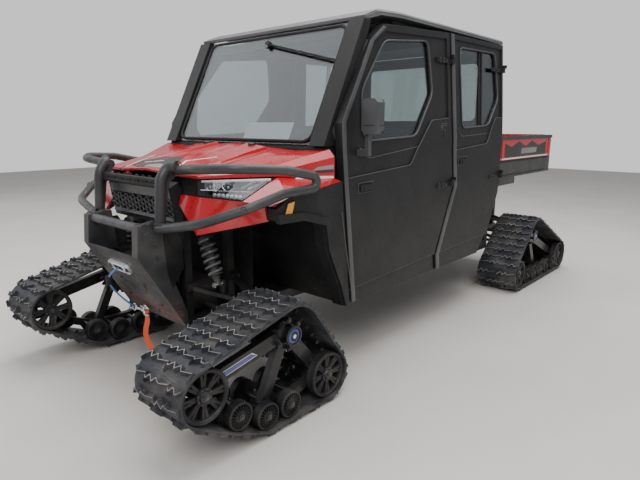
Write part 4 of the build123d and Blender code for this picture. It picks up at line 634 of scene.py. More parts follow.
class VehicleCords(Operator):
    """Make the winch rope with its hook, and the webbing strap that hangs from it"""

    bl_idname = "vehicle.cords"
    bl_label = "Rope, hook and strap"

    def execute(self, context):
        rope = cord_curve("winch_rope_cord", ROPE_POINTS, ROPE_RADIUS)
        context.scene.collection.objects.link(rope)
        rope.data.materials.append(material("blue_rope"))
        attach(rope, "chassis")
        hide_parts("winch_rope")
        sleeve = bmesh.new()
        low, high = at(-98, -1799, 545), at(-80, -1811, 582)
        taper = (high - low) * 0.12
        rod(sleeve, low, high, 0.017, 20)
        rod(sleeve, low - taper, low, 0.012, 20, tip=0.017)
        rod(sleeve, high, high + taper, 0.017, 20, tip=0.012)
        stop = finish_piece(sleeve, "rope_stop", "chassis", ["rubber_black"], bevel=0.002)

        way = strap_path()
        strap = bmesh.new()
        rings = []
        for index, point in enumerate(way):
            ahead = (way[min(index + 1, len(way) - 1)] - way[max(index - 1, 0)]).normalized()
            turn = math.radians(20 + 50 * index / len(way))
            wide = Vector((math.cos(turn), math.sin(turn), 0.0))
            wide = (wide - ahead * wide.dot(ahead)).normalized() * STRAP_HALF_WIDTH
            flat = ahead.cross(wide).normalized() * STRAP_HALF_THICKNESS
            rings.append([point - wide - flat, point + wide - flat, point + wide + flat, point - wide + flat])
        sweep(strap, rings)
        webbing = finish_piece(
            strap, "pull_strap_webbing", "chassis", ["orange_strap"], replaces=["pull_strap"], bevel=0.0006
        )

        hook = bmesh.new()
        eye = round_points(at(-112, -1668, 380), (0.017, 0, 0), (0, 0.004, 0.015), 20)
        bead(hook, eye, 0.0052, closed=True)
        bend = round_points(at(-34, -1648, 372), (-0.024, 0, 0), (0, 0, 0.026), 18, -150, 150)
        bead(hook, bend, 0.0072, fineness=3)
        for start, end, radius, sides in (
            ((-100, -1668, 380), (-62, -1660, 377), 0.0075, 16),
            ((-58, -1664, 398), (-16, -1656, 388), 0.0035, 10),
            ((-118, -1686, 381), (-118, -1650, 381), 0.0048, 12),
        ):
            rod(hook, at(*start), at(*end), radius, sides)
        bolt(hook, at(-118, -1687, 381), Vector((0, -1, 0)), 0.006)
        clasp = finish_piece(
            hook, "winch_hook_forged", "chassis", ["bright_steel"], replaces=["winch_hook"], sharp=50
        )
        return {"FINISHED"}


# Track units: columns are distance behind the axle, height, radius, rows, whether the belt bends there
FRONT_UNIT = (
    (-481.0, 315.0, 112.0, "both", True), (-315.0, 160.0, 62.0, "outer", True),
    (-240.0, 127.0, 62.0, "inner", False), (-165.0, 94.0, 62.0, "outer", True),
    (-96.0, 94.0, 62.0, "inner", False), (-27.0, 94.0, 62.0, "outer", False),
    (50.0, 94.0, 62.0, "inner", False), (226.0, 144.0, 112.0, "both", True),
)
REAR_UNIT = ((-301.0, 144.0, 112.0, "both", True),) + tuple(
    (-130.0 + 75.0 * index, 94.0, 62.0, "inner" if index % 2 else "outer", False) for index in range(9)
) + ((620.0, 144.0, 112.0, "both", True),)
SPROCKET = (0.0, HUB_Z, 138.0)
# Columns: name, body, side, axle's place, wheels
UNITS = (
    ("front_left", "steer_left", 1, -HALF_BASE, FRONT_UNIT),
    ("front_right", "steer_right", -1, -HALF_BASE, FRONT_UNIT),
    ("rear_left", "chassis", 1, HALF_BASE, REAR_UNIT),
    ("rear_right", "chassis", -1, HALF_BASE, REAR_UNIT),
)
# Where the wheels' rows, the frame's face and the hub's face lie across
INNER_ROW_X = 582.0
OUTER_ROW_X = 828.0
UNIT_FACE_X = 790.0
HUB_FACE_X = 838.0
# The belt: spacing of its points, its thickness, its lugs' foot and the half width of a row of lugs
BELT_STEP = 16.0
BELT_THICKNESS = 10
LUG_FOOT = 0.0098
LUG_HALF_WIDTH = 0.157
LUG_STEPS = 58


def unit_solids(name, kind):
    """Return the solids a unit's piece replaces: the left rear one stands for those of both sides."""
    return {"rear_left": [f"rear_{kind}"], "rear_right": []}.get(name, [f"{name}_{kind}"])


def belt_line(wheels, spacing):
    """Return places along a belt's inner face, evenly spaced: points and outward directions."""
    spots = []
    corners = [wheel[:3] for wheel in wheels if wheel[4]] + [SPROCKET]
    for behind, height, radius in corners:
        for index in range(240):
            turn = math.tau * index / 240
            spots.append(Vector((behind + radius * math.cos(turn), height + radius * math.sin(turn))))
    hull = [spots[index] for index in convex_hull_2d(spots)]
    lengths = [(after - before).length for before, after in zip(hull, hull[1:] + hull[:1])]
    count = round(sum(lengths) / spacing)
    step = sum(lengths) / count
    line, travelled, index = [], 0.0, 0
    for number in range(count):
        want = number * step
        while travelled + lengths[index] < want:
            travelled += lengths[index]
            index += 1
        share = (want - travelled) / lengths[index]
        line.append(hull[index].lerp(hull[(index + 1) % len(hull)], share))
    middle = sum(line, Vector((0, 0))) / count
    outward = []
    for index, point in enumerate(line):
        way = line[(index + 1) % count] - line[index - 1]
        out = Vector((way.y, -way.x)).normalized()
        outward.append(out if out.dot(point - middle) > 0 else -out)
    return line, outward


def lug_row(shift):
    """Return a ready mesh of one row of lugs: x across, y along the belt, z out of it, in metres."""
    mesh = bmesh.new()
    rings = []
    for index in range(LUG_STEPS + 1):
        x = -LUG_HALF_WIDTH + 2 * LUG_HALF_WIDTH * index / LUG_STEPS
        place = (x / LUG_HALF_WIDTH + 1 + shift) % 1.0
        zig = (place - 0.04) / 0.54
        wave, tall = 0.007 * (place - 0.79) / 0.21, 0.0125
        if 0 < zig < 1:
            bend = (zig * 2.0 + 0.25) % 1.0
            wave = 0.0115 * (4 * abs(bend - 0.5) - 1)
            tall = 0.0200
        if abs(x) > LUG_HALF_WIDTH - 0.012:
            tall = 0.014
        wide, top = 0.0078, 0.0026 if tall > 0.015 else 0.0015
        shape = ((-wide, -0.001), (-top, tall), (top, tall), (wide, -0.001))
        rings.append([(x, wave + shift_on, rise) for shift_on, rise in shape])
    sweep(mesh, rings)
    for face in mesh.faces:
        face.material_index = 1 if min(vert.co.z for vert in face.verts) > 0.010 else 0
    data = bpy.data.meshes.new("lug_row")
    mesh.to_mesh(data)
    mesh.free()
    return data


class VehicleBelts(Operator):
    """Make the four belts with their ribbed bands, lug rows and inner drive lugs"""

    bl_idname = "vehicle.belts"
    bl_label = "Track belts"

    def execute(self, context):
        sizes = context.scene.vehicle_sizes
        rows = [lug_row(shift) for shift in (0.0, 0.5)]
        inner_x = TRACK_X - sizes.belt_width * 500
        outer_x = TRACK_X + sizes.belt_width * 500
        for name, body, side, axle, wheels in UNITS:
            line, outward = belt_line(wheels, BELT_STEP)
            mesh = bmesh.new()
            rings = []
            for spot, flat_out in zip(line, outward):
                top = spot + flat_out * BELT_THICKNESS
                corners = ((inner_x, spot), (outer_x, spot), (outer_x, top), (inner_x, top))
                rings.append([at(side * across, axle + place.x, place.y) for across, place in corners])
            sweep(mesh, rings + [rings[0]], caps=False)
            bmesh.ops.remove_doubles(mesh, verts=mesh.verts, dist=0.00005)
            count = round(len(line) * BELT_STEP / sizes.lug_pitch / 1000)
            for index in range(count):
                place = int(index * len(line) / count)
                spot, out = line[place], Vector((0, *outward[place]))
                across = Vector((side, 0, 0))
                turn = Matrix((across, out.cross(across), out)).transposed().to_4x4()
                foot = at(side * TRACK_X, axle + spot.x, spot.y) + out * LUG_FOOT
                place_copy(mesh, rows[index % 2], Matrix.Translation(foot) @ turn)
            for index in range(0, len(line), 4):
                spot, out = line[index], Vector((0, *outward[index]))
                for across in (TRACK_X - 92, TRACK_X + 28):
                    foot = at(side * across, axle + spot.x, spot.y)
                    rod(mesh, foot + out * 0.001, foot - out * 0.016, 0.011, 6, tip=0.006)
            solids = unit_solids(name, "track_belts" if body == "chassis" else "track_belt")
            finish_piece(
                mesh, f"{name}_belt_rubber", body, ["belt_rubber", "belt_worn"], replaces=solids, sharp=30
            )
        for row in rows:
            bpy.data.meshes.remove(row)
        return {"FINISHED"}


def section(low_x, high_x, half, height):
    """Return the corners of a level section: two places across, half its width and its height."""
    return [Vector(spot) for spot in (
        (low_x, -half, height), (high_x, -half, height), (high_x, half, height), (low_x, half, height))]


def turns_about_x(count, shift=0.0):
    """Return evenly spaced turns round the x axis, shifted by a share of their spacing."""
    return [Matrix.Rotation(math.tau * (index + shift) / count, 4, "X") for index in range(count)]


def studs(mesh, count, foot, top, shift=0.0):
    """Add bars round the x axis, each from a section near the axis to one further out."""
    for turn in turns_about_x(count, shift):
        bar(mesh, [turn @ spot for spot in section(*foot)], [turn @ spot for spot in section(*top)])


def small_wheel():
    """Return a ready mesh of a ribbed road wheel, its axis along x, its outer face at x 22 mm."""
    mesh = bmesh.new()
    rim = (
        (0.062, -0.020), (0.062, 0.018), (0.058, 0.022), (0.053, 0.022), (0.051, 0.010), (0.026, 0.006),
        (0.024, 0.018), (0.008, 0.020), (0.008, -0.018), (0.050, -0.018),
    )
    turned(mesh, rim, CENTRE, ACROSS, 32)
    for turn in turns_about_x(20):
        rib = block(mesh, Vector((0.006, 0.025, -0.0014)), Vector((0.019, 0.052, 0.0014)))
        bmesh.ops.transform(mesh, matrix=turn, verts=rib)
    rod(mesh, ACROSS * -0.018, ACROSS * 0.024, 0.0125, 16, finish=1)
    bolt(mesh, ACROSS * 0.024, ACROSS, 0.008, 2)
    return made_template(mesh, "road_wheel")


def idler_wheel():
    """Return a ready mesh of a spoked idler: rim, eight paired spokes, hub with a bolt circle."""
    mesh = bmesh.new()
    rim = (
        (0.112, -0.021), (0.112, 0.017), (0.108, 0.022), (0.097, 0.022), (0.092, 0.016), (0.092, 0.002),
        (0.097, -0.004), (0.097, -0.021),
    )
    turned(mesh, rim, CENTRE, ACROSS, 48)
    rod(mesh, ACROSS * -0.018, ACROSS * 0.014, 0.036, 32)
    rod(mesh, ACROSS * 0.014, ACROSS * 0.022, 0.026, 32, tip=0.022, finish=1)
    for shift in (-0.13, 0.13):
        studs(mesh, 8, (-0.012, 0.008, 0.0055, 0.030), (-0.014, 0.013, 0.0065, 0.097), shift)
    for turn in turns_about_x(8, 0.5):
        bolt(mesh, turn @ Vector((0.014, 0, 0.0305)), ACROSS, 0.0032, 2)
    bolt(mesh, ACROSS * 0.022, ACROSS, 0.0085, 2)
    return made_template(mesh, "idler_wheel")


def drive_sprocket():
    """Return a ready mesh of the drive sprocket: a toothed ring on a windowed disc."""
    mesh = bmesh.new()
    disc = (
        (0.118, -0.008), (0.118, 0.008), (0.104, 0.012), (0.060, 0.004), (0.052, 0.014), (0.020, 0.016),
        (0.020, -0.016), (0.052, -0.014), (0.060, -0.004), (0.104, -0.012),
    )
    turned(mesh, disc, CENTRE, ACROSS, 48)
    studs(mesh, 22, (-0.008, 0.008, 0.011, 0.114), (-0.007, 0.007, 0.005, 0.136))
    for turn in turns_about_x(10):
        rod(mesh, turn @ Vector((0.005, 0, 0.082)), turn @ Vector((0.0095, 0, 0.082)), 0.013, 16, finish=1)
        bolt(mesh, turn @ Vector((0.014, 0, 0.038)), ACROSS, 0.005, 2)
    return made_template(mesh, "drive_sprocket")


class VehicleWheels(Operator):
    """Make the wheels that carry the belts: idlers, road wheels and drive sprockets"""

    bl_idname = "vehicle.wheels"
    bl_label = "Track wheels"

    def execute(self, context):
        small, large, sprocket = small_wheel(), idler_wheel(), drive_sprocket()
        about = Matrix.Rotation(math.pi, 4, "Z")
        # The discs of each kind of row, and the span of its axle
        spans = {
            "both": ((INNER_ROW_X, OUTER_ROW_X), (INNER_ROW_X, OUTER_ROW_X)),
            "outer": ((OUTER_ROW_X,), (771.0, OUTER_ROW_X)),
            "inner": ((INNER_ROW_X,), (INNER_ROW_X, 771.0)),
        }
        for name, body, side, axle, wheels in UNITS:
            mesh = bmesh.new()
            face_out = Matrix.Identity(4) if side > 0 else about
            for behind, height, radius, rows, _ in wheels:
                discs, span = spans[rows]
                for across in discs:
                    turn = face_out if across > TRACK_X else about @ face_out
                    spot = at(side * across, axle + behind, height)
                    place_copy(mesh, large if radius > 100 else small, Matrix.Translation(spot) @ turn)
                low, high = [at(side * across, axle + behind, height) for across in span]
                rod(mesh, low, high, 0.013, 14, finish=1)
            place_copy(mesh, sprocket, Matrix.Translation(at(side * TRACK_X, axle, HUB_Z)) @ face_out)
            low, high = at(side * (TRACK_X - 40), axle, HUB_Z), at(side * 760, axle, HUB_Z)
            rod(mesh, low, high, 0.05, 28, finish=1)
            solids = unit_solids(name, "track_wheels")
            finishes = ["wheel_black", "hub_black", "bolt_dark"]
            finish_piece(mesh, f"{name}_running_gear", body, finishes, replaces=solids, sharp=32)
        for template in (small, large, sprocket):
            bpy.data.meshes.remove(template)
        return {"FINISHED"}


class VehicleUnitTrim(Operator):
    """Add the bolts, hub cap and plain stripes on the outer face of each track frame"""

    bl_idname = "vehicle.unit_trim"
    bl_label = "Track frame trim"

    def execute(self, context):
        for name, body, side, axle, wheels in UNITS:
            mesh = bmesh.new()
            out = Vector((side, 0, 0))
            middle = at(side * (UNIT_FACE_X + 20), axle, HUB_Z)
            for spot in round_points(middle, (0, 0.066, 0), (0, 0, 0.066), 5, 30, 330):
                rod(mesh, spot - out * 0.022, spot, 0.011, 16, finish=0)
                bolt(mesh, spot, out, 0.0075, 1)
            foot, head = Vector((axle, HUB_Z)), Vector((axle + wheels[0][0], wheels[0][1]))
            way = (head - foot).normalized()
            slant = way * 26
            # A pale stripe and a blue one on it: where each starts and ends along the arm, half its
            # width, how far it is off the frame and its finish
            for start, end, half, lift, finish in ((0.36, 0.80, 13.0, 0.4, 3), (0.37, 0.785, 10.5, 0.7, 2)):
                cross = Vector((-way.y, way.x)) * half
                low, high = foot.lerp(head, start), foot.lerp(head, end)
                corners = [low - cross + slant, high - cross, high + cross - slant, low + cross]
                plate(mesh, along(side, UNIT_FACE_X + lift, corners), out * 0.0003, finish)
            hub = at(side * HUB_FACE_X, axle, HUB_Z)
            turned(mesh, ((0.047, 0.0), (0.047, 0.006), (0.037, 0.008), (0.035, 0.0)), hub, out, 32, finish=0)
            turned(mesh, ((0.034, 0.0), (0.034, 0.003), (0.022, 0.007), (0.022, 0.0)), hub, out, 32, finish=2)
            rod(mesh, hub, hub + out * 0.0075, 0.0215, 28, tip=0.019, finish=0)
            rod(mesh, hub + out * 0.007, hub + out * 0.008, 0.009, 20, finish=3)
            for behind, height, _, rows, _ in wheels:
                if rows != "inner":
                    spot = at(side * (UNIT_FACE_X - 2), axle + behind, height)
                    rod(mesh, spot, spot + out * 0.014, 0.018, 20, tip=0.015, finish=0)
            finishes = ["hub_black", "bolt_dark", "decal_blue", "decal_white"]
            finish_piece(mesh, f"{name}_frame_trim", body, finishes, bevel=0.0008)
        return {"FINISHED"}


COIL_TURNS = 5.2
COIL_RADIUS = 0.0345


class VehicleShocks(Operator):
    """Make the dampers with their coil springs"""

    bl_idname = "vehicle.shocks"
    bl_label = "Shocks"

    def execute(self, context):
        mesh = bmesh.new()
        for axle in (-HALF_BASE, HALF_BASE):
            foot, head = at(430, axle - 92, 585), at(330, axle - 92, 845)
            axis = (head - foot).normalized()
            turn = axis.to_track_quat("Z", "Y").to_matrix()
            length = (head - foot).length
            # Columns: start and end along the damper, radius, sides, finish
            for low, high, radius, sides, finish in (
                (-0.002, 0.03, 0.017, 20, 1),
                (0.03, length - 0.11, 0.0215, 24, 1),
                (0.045, 0.053, 0.036, 32, 1),
                (length - 0.12, length, 0.024, 24, 1),
                (length - 0.058, length - 0.048, 0.036, 32, 1),
                (length - 0.07, length - 0.068, 0.034, 32, 0),
                (length - 0.074, length - 0.072, 0.034, 32, 0),
            ):
                rod(mesh, foot + axis * low, foot + axis * high, radius, sides, finish=finish)
            total = int(COIL_TURNS * 24)
            coil = []
            for index in range(total + 1):
                share = index / total
                angle = math.tau * COIL_TURNS * share
                way = 0.055 + (length - 0.115) * share
                spot = Vector((COIL_RADIUS * math.cos(angle), COIL_RADIUS * math.sin(angle), way))
                coil.append(foot + turn @ spot)
            bead(mesh, coil, 0.0068, finish=3)
            for spot in (foot, head):
                pin = Vector((0, 0.02, 0))
                rod(mesh, spot - pin, spot + pin, 0.014, 20, finish=2)
                bolt(mesh, spot - pin, Vector((0, -1, 0)), 0.009, 2)
        mirrored(mesh)
        finishes = ["hub_black", "cast", "bright_steel", "spring_grey"]
        finish_piece(mesh, "coil_dampers", "chassis", finishes, replaces=["shocks"], sharp=40)
        return {"FINISHED"}


def covering(mesh, outline, surface, thickness, finish=0, cuts=(), step=60):
    """Add a thin sheet on a surface: an outline in plan, cut finely, then laid on the surface."""
    verts = [mesh.verts.new((across, behind, 0)) for across, behind in outline]
    geometry = [mesh.faces.new(verts)]
    low_x, high_x = min(spot[0] for spot in outline), max(spot[0] for spot in outline)
    places = [0.0] + list(range(int(low_x // step) * step, int(high_x) + step, step))
    planes = [(Vector((place, 0, 0)), ACROSS) for place in places]
    planes += [(Vector((0, place, 0)), Vector((0, 1, 0))) for place in cuts]
    for spot, normal in planes:
        near = {vert for face in geometry for vert in face.verts}
        edges = {edge for face in geometry for edge in face.edges}
        made = bmesh.ops.bisect_plane(
            mesh, geom=list(near) + list(edges) + geometry, dist=0.01, plane_co=spot, plane_no=normal
        )
        geometry = [item for item in made["geom"] if isinstance(item, bmesh.types.BMFace)]
    if geometry[0].normal.z < 0:
        bmesh.ops.reverse_faces(mesh, faces=geometry)
    for vert in {vert for face in geometry for vert in face.verts}:
        vert.co = surface(vert.co.x, vert.co.y)
    for face in geometry:
        face.material_index = finish
    bmesh.ops.solidify(mesh, geom=geometry, thickness=-thickness)


def on_hood(lift):
    """Return a surface over the hood, a few tenths of a millimetre off it."""
    return lambda across, behind: at(across, behind, hood_z(across, behind) + lift)


# Outlines on the hood: across, behind
POD = (
    (277.0, -1461.0), (226.0, -1332.0), (166.0, -1219.0), (122.0, -1062.0), (309.0, -1085.0),
    (300.0, -1230.0), (311.0, -1397.0),
)
CREASE = ((170.0, -1571.0), (125.0, -1455.0), (77.0, -1313.0), (74.0, -1075.0))
EDGE_CREASE = ((322.0, -1470.0), (352.0, -1380.0), (352.0, -1230.0), (352.0, -1075.0))
# Plain decals: height off the hood, thickness, finish, where it is cut along, outline
HOOD_DECALS = (
    (0.25, 0.0003, 0, (-1450.0,), (
        (-262, -1545), (-296, -1450), (-205, -1372), (20, -1400), (130, -1568), (20, -1592), (-120, -1592))),
    (0.6, 0.0002, 1, (), ((-60, -1588), (-90, -1545), (75, -1530), (118, -1572), (20, -1590))),
    (0.5, 0.0003, 2, (-1450.0,), (
        (200, -1583), (185, -1583), (89, -1441), (178, -1320), (192, -1320), (105, -1441))),
    (0.5, 0.0003, 2, (-1450.0,), (
        (-244, -1583), (-258, -1583), (-333, -1440), (-403, -1320), (-390, -1320), (-318, -1440))),
    (0.7, 0.0002, 2, (-1450.0,), ((-210, -1500), (-215, -1490), (-60, -1470), (-52, -1480))),
)


class VehicleHoodTrim(Operator):
    """Make the hood's raised pods, creases, plain decals and latch knobs"""

    bl_idname = "vehicle.hood_trim"
    bl_label = "Hood trim"

    def execute(self, context):
        pods, knobs = bmesh.new(), bmesh.new()
        for side in BOTH:
            raised, foot = [], []
            for across, behind in POD:
                height = hood_z(across, behind)
                foot.append(at(side * across, behind, height - 2))
                raised.append(at(side * across, behind, height + 4 + 13 * max((behind + 1461) / 400, 0.0)))
            middle = sum(raised, Vector()) / len(raised)
            rings = [
                [pods.verts.new(spot) for spot in foot],
                [pods.verts.new(spot.lerp(middle, 0.07)) for spot in raised],
            ]
            for ring in rings:
                pods.faces.new(ring)
            edges = [pods.edges.get(pair) for ring in rings for pair in zip(ring, ring[1:] + ring[:1])]
            bmesh.ops.bridge_loops(pods, edges=edges)
            for line, lift, radius, finish in ((CREASE, 0.2, 0.0022, 0), (EDGE_CREASE, -0.4, 0.002, 1)):
                surface = on_hood(lift)
                laid = [surface(side * across, behind) for across, behind in line]
                bead(pods, laid, radius, finish=finish)
            knob = at(side * 200, -1098, hood_z(200, -1098) + 15)
            rod(knobs, knob - UP * 0.006, knob + UP * 0.008, 0.024, 28, tip=0.020, finish=0)
            slot, half = knob + UP * 0.0085, Vector((0.014, 0.0025, 0.001))
            block(knobs, slot - half, slot + half, finish=1)
        rim = [at(across, -1611, hood_z(across, -1611) - 2) for across in (-248, -124, 0, 124, 248)]
        bead(pods, rim, 0.003, finish=0)
        finish_piece(pods, "hood_pods", "hood_lid", ["red_paint", "trim_black"], bevel=0.003, sharp=30)
        finish_piece(knobs, "hood_knobs", "hood_lid", ["trim_black", "steel"], bevel=0.0006)
        decals = bmesh.new()
        for lift, thickness, finish, cuts, outline in HOOD_DECALS:
            covering(decals, outline, on_hood(lift), thickness, finish, cuts=cuts)
        finish_piece(decals, "hood_stripes", "hood_lid", ["decal_dark", "decal_grey", "decal_white"])
        return {"FINISHED"}


# Lamp sections: across, then the top and bottom of the front face as behind and height
LAMP_IN = (404.0, (-1606.0, 1081.0), (-1604.0, 1007.5))
LAMP_OUT = (598.0, (-1297.0, 1080.0), (-1507.0, 990.6))


def lamp_point(side, share, rise, depth=0.0):
    """Return a place on a lamp's face: share of the way out, rise from its lower edge, depth inside."""
    ends = []
    for across, top, bottom in (LAMP_IN, LAMP_OUT):
        low, high = Vector((across, *bottom)), Vector((across, *top))
        ends.append(low.lerp(high, rise))
    spot = ends[0].lerp(ends[1], share)
    return at(side * spot.x, spot.y + depth, spot.z)


class VehicleHeadlights(Operator):
    """Make the headlights: clear lens, chromed bowls and a light strip in a black housing with painted shade"""

    bl_idname = "vehicle.headlights"
    bl_label = "Headlights"

    def execute(self, context):
        lenses, insides = bmesh.new(), bmesh.new()
        border = [(share, 0.02) for share in (0.01, 0.25, 0.5, 0.75, 0.985)]
        border += [(0.985, rise) for rise in (0.35, 0.7, 0.98)]
        border += [(share, 0.98) for share in (0.75, 0.5, 0.25, 0.01)] + [(0.01, 0.5)]
        for side in BOTH:
            # The insides' dark back sheet and border are black housing darkened further as painted shade
            for mesh, depth, thickness in ((lenses, 0.0, 0.003), (insides, 44.0, 0.004)):
                made = bmesh.ops.create_grid(mesh, x_segments=10, y_segments=6, size=0.5)["verts"]
                faces = {face for vert in made for face in vert.link_faces}
                for vert in made:
                    share, rise = vert.co.x + 0.5, vert.co.y + 0.5
                    vert.co = lamp_point(side, share * 0.98 + 0.01, rise * 0.96 + 0.02, depth)
                bmesh.ops.solidify(mesh, geom=list(faces), thickness=-side * thickness)
            bead(insides, [lamp_point(side, *spot, 2.0) for spot in border], 0.0035, closed=True, finish=0)
            for share, radius in ((0.17, 0.021), (0.44, 0.024)):
                spot = lamp_point(side, share, 0.62, 12.0)
                across = lamp_point(side, share + 0.1, 0.62) - lamp_point(side, share - 0.1, 0.62)
                rise = lamp_point(side, share, 0.8) - lamp_point(side, share, 0.4)
                out = across.cross(rise).normalized() * side
                bowl = (
                    (radius, 0.0), (radius * 0.86, -0.009), (radius * 0.5, -0.018), (0.0, -0.022),
                    (0.0, -0.026), (radius * 0.6, -0.022), (radius + 0.003, -0.006), (radius + 0.003, 0.001),
                )
                turned(insides, bowl, spot, out, 28, finish=1)
                rod(insides, spot - out * 0.02, spot - out * 0.006, 0.0065, 16, tip=0.004, finish=2)
            for index in range(7):
                share = 0.30 + 0.085 * index
                low, high = lamp_point(side, share, 0.10, 8.0), lamp_point(side, share + 0.062, 0.30, 8.0)
                spot = low.lerp(high, 0.2)
                rod(insides, spot, spot + Vector((0, 0.01, 0)), 0.008, 6, finish=2)
            for rise, depth, radius, finish in ((0.90, 9.0, 0.0075, 2), (0.37, 8.0, 0.0035, 1)):
                strip = [lamp_point(side, 0.05 + 0.9 * index / 10, rise, depth) for index in range(11)]
                bead(insides, strip, radius, finish=finish)
            for share in (0.66, 0.80):
                low, high = lamp_point(side, share, 0.45, 14.0), lamp_point(side, share + 0.1, 0.86, 16.0)
                bead(insides, [low, low.lerp(high, 0.5), high], 0.007, finish=1)
        finish_piece(lenses, "headlight_lenses", "chassis", ["lens_clear"], sharp=60)
        finishes = ["dark_inside", "reflector", "lamp_white"]
        finish_piece(insides, "headlight_bowls", "chassis", finishes, replaces=["headlights"], sharp=40)
        return {"FINISHED"}


def on_sheet(across, up, lift):
    """Return a place on the bull bar's middle sheet, measured from the fairlead's middle."""
    return at(*(SHEET_MIDDLE + ACROSS * across + SHEET_UP * up + SHEET_OUT * lift))


def grille_y(height):
    """Return the place along of the grille's face at a height."""
    return -1666 + (1038 - height) * 26 / 180


# The bull bar's second loop: across, behind, height
LOOP_TUBE = ((289, -1727, 872), (289, -1712, 1085), (292, -1672, 1136), (332, -1652, 1138))


class VehicleFrontTrim(Operator):
    """Add the bull bar's bolts, welds and lamps, the fairlead's lip and the grille's honeycomb"""

    bl_idname = "vehicle.front_trim"
    bl_label = "Front trim"

    def execute(self, context):
        self.bar_fittings()
        self.fairlead_lip()
        self.honeycomb()
        return {"FINISHED"}

    def bar_fittings(self):
        """Add the second loop's tubes, the welds and bolts, the light slots and the side brackets."""
        mesh = bmesh.new()
        for side in BOTH:
            out = Vector((side, 0, 0))
            for spot in along(side, 264, ((-1752, 890), (-1748, 850), (-1745, 785), (-1740, 725))):
                bolt(mesh, spot, out, 0.0075, 1)
            for across in (214, 264):
                ring = round_points(at(side * across, -1793, 862), (0, 0.024, 0), (0, 0, 0.024), 24)
                bead(mesh, ring, 0.0028, closed=True)
            bead(mesh, points_at(side, rounded(LOOP_TUBE, 44)), 0.0245, fineness=6)
            weld(mesh, at(side * 332, -1652, 1138), Vector((side, -0.1, 0)), 0.024)
            weld(mesh, at(side * 289, -1727, 884), UP, 0.0255)
            bolt(mesh, at(side * 700, -1583, 974), Vector((side * 0.55, -0.8, 0)), 0.011, 1)
            bolt(mesh, at(side * 283, -1694, 1063), out, 0.008, 1)
            for across, up in ((112, -104), (150, -230), (60, -300)):
                bolt(mesh, on_sheet(side * across, up, 0.5), SHEET_OUT, 0.0065, 1)
            bracket = ((-1702, 850), (-1645, 850), (-1602, 780), (-1602, 650), (-1668, 560), (-1690, 640))
            plate(mesh, along(side, 262, bracket), out * 0.006, 3)
        for index in range(7):
            low = at(-246 + 74 * index, -1712.5, 1059)
            block(mesh, low, low + Vector((0.048, 0.006, 0.009)), finish=2)
        turns = [math.radians(8 + 164 * index / 20) for index in range(21)]
        arc = [on_sheet(105 * math.cos(turn), -112 - 62 * math.sin(turn), 1.0) for turn in turns]
        bead(mesh, arc, 0.0042, finish=0)
        finishes = ["bar_black", "bolt_dark", "dark_inside", "frame_black"]
        finish_piece(mesh, "bull_bar_fittings", "chassis", finishes, bevel=0.0008)

    def fairlead_lip(self):
        """Add the rounded lip of the fairlead's mouth, the dark plate of painted shade in its slot, and its
        bolts.
        """
        mesh = bmesh.new()
        ring = []
        for corner, (across, up) in enumerate(((44, 10), (-44, 10), (-44, -10), (44, -10))):
            for index in range(5):
                turn = math.radians(90 * corner + 22.5 * index)
                ring.append(on_sheet(across + 10 * math.cos(turn), up + 10 * math.sin(turn), 14))
        bead(mesh, ring, 0.0048, closed=True, fineness=3)
        for across in (-78, 78):
            rod(mesh, on_sheet(across, 0, 12), on_sheet(across, 0, 14.6), 0.0135, 20, finish=2)
            bolt(mesh, on_sheet(across, 0, 14.6), SHEET_OUT, 0.0065, 1)
        # The dark plate in the slot is painted shade
        corners = [on_sheet(across, up, 12) for across, up in oblong((-46, -13), (46, 13))]
        plate(mesh, corners, SHEET_OUT * 0.0024, 2)
        finish_piece(mesh, "fairlead_lip", "chassis", ["alloy", "bolt_dark", "dark_inside"], sharp=50)

    def honeycomb(self):
        """Add the grille's two honeycomb bands, the plate behind the lower one, which is painted shade, and its
        bands.
        """
        mesh = bmesh.new()
        for column in range(17):
            across = -264 + 33.0 * column
            for row in range(2 if column % 2 else 3):
                height = 912 + 27.0 * row + (13.5 if column % 2 else 0.0)
                cell = at(across, grille_y(height) - 2, height)
                ring = round_points(cell, (0.0175, 0, 0), (0, 0, 0.013), 6)
                bead(mesh, ring, 0.0040, closed=True, finish=2, fineness=0)
            across = -240 + 30.0 * column
            for row in range(2):
                height = 1045 + 17.0 * row + (8.5 if column % 2 else 0.0)
                cell = at(across, -1652 + (height - 1038) * 0.10, height)
                ring = round_points(cell, (0.017, 0, 0), (0, 0, 0.010), 6)
                bead(mesh, ring, 0.0034, closed=True, fineness=0)
        # The dark plate behind the lower band is painted shade
        corners = oblong((-276, 896), (276, 984))
        back = [at(across, grille_y(height) + 7, height) for across, height in corners]
        plate(mesh, back, Vector((0, 0.002, 0)), 1)
        finishes = ["trim_black", "dark_inside", "trim_edge"]
        finish_piece(mesh, "grille_honeycomb", "chassis", finishes, sharp=60)
        bands = bmesh.new()
        # Columns: two heights, each with how far the band lies ahead of the face, and the finish
        for low, low_ahead, high, high_ahead, finish in ((898, 2, 880, 10, 1), (1030, 0, 986, 2, 2)):
            low_y, high_y = grille_y(low) - low_ahead, grille_y(high) - high_ahead
            corners = ((-278, low_y, low), (278, low_y, low), (278, high_y, high), (-278, high_y, high))
            plate(bands, points_at(1, corners), Vector((0, 0.012, 0)), finish)
        for side in BOTH:
            edge = [at(side * 281, grille_y(height) + 2, height) for height in (1036, 985, 930, 880)]
            bead(bands, edge, 0.005, finish=0)
        finish_piece(bands, "grille_bands", "chassis", ["trim_black", "lip_grey", "trim_edge"], bevel=0.002)


def rounded(line, radius):
    """Return an open line of points with its inner corners rounded."""
    line = [Vector(spot) for spot in line]
    made = [line[0]]
    for before, spot, after in zip(line, line[1:], line[2:]):
        cut = min(radius, (before - spot).length * 0.48, (after - spot).length * 0.48)
        made += corner_points(before, spot, after, cut, 6)
    return made + [line[-1]]


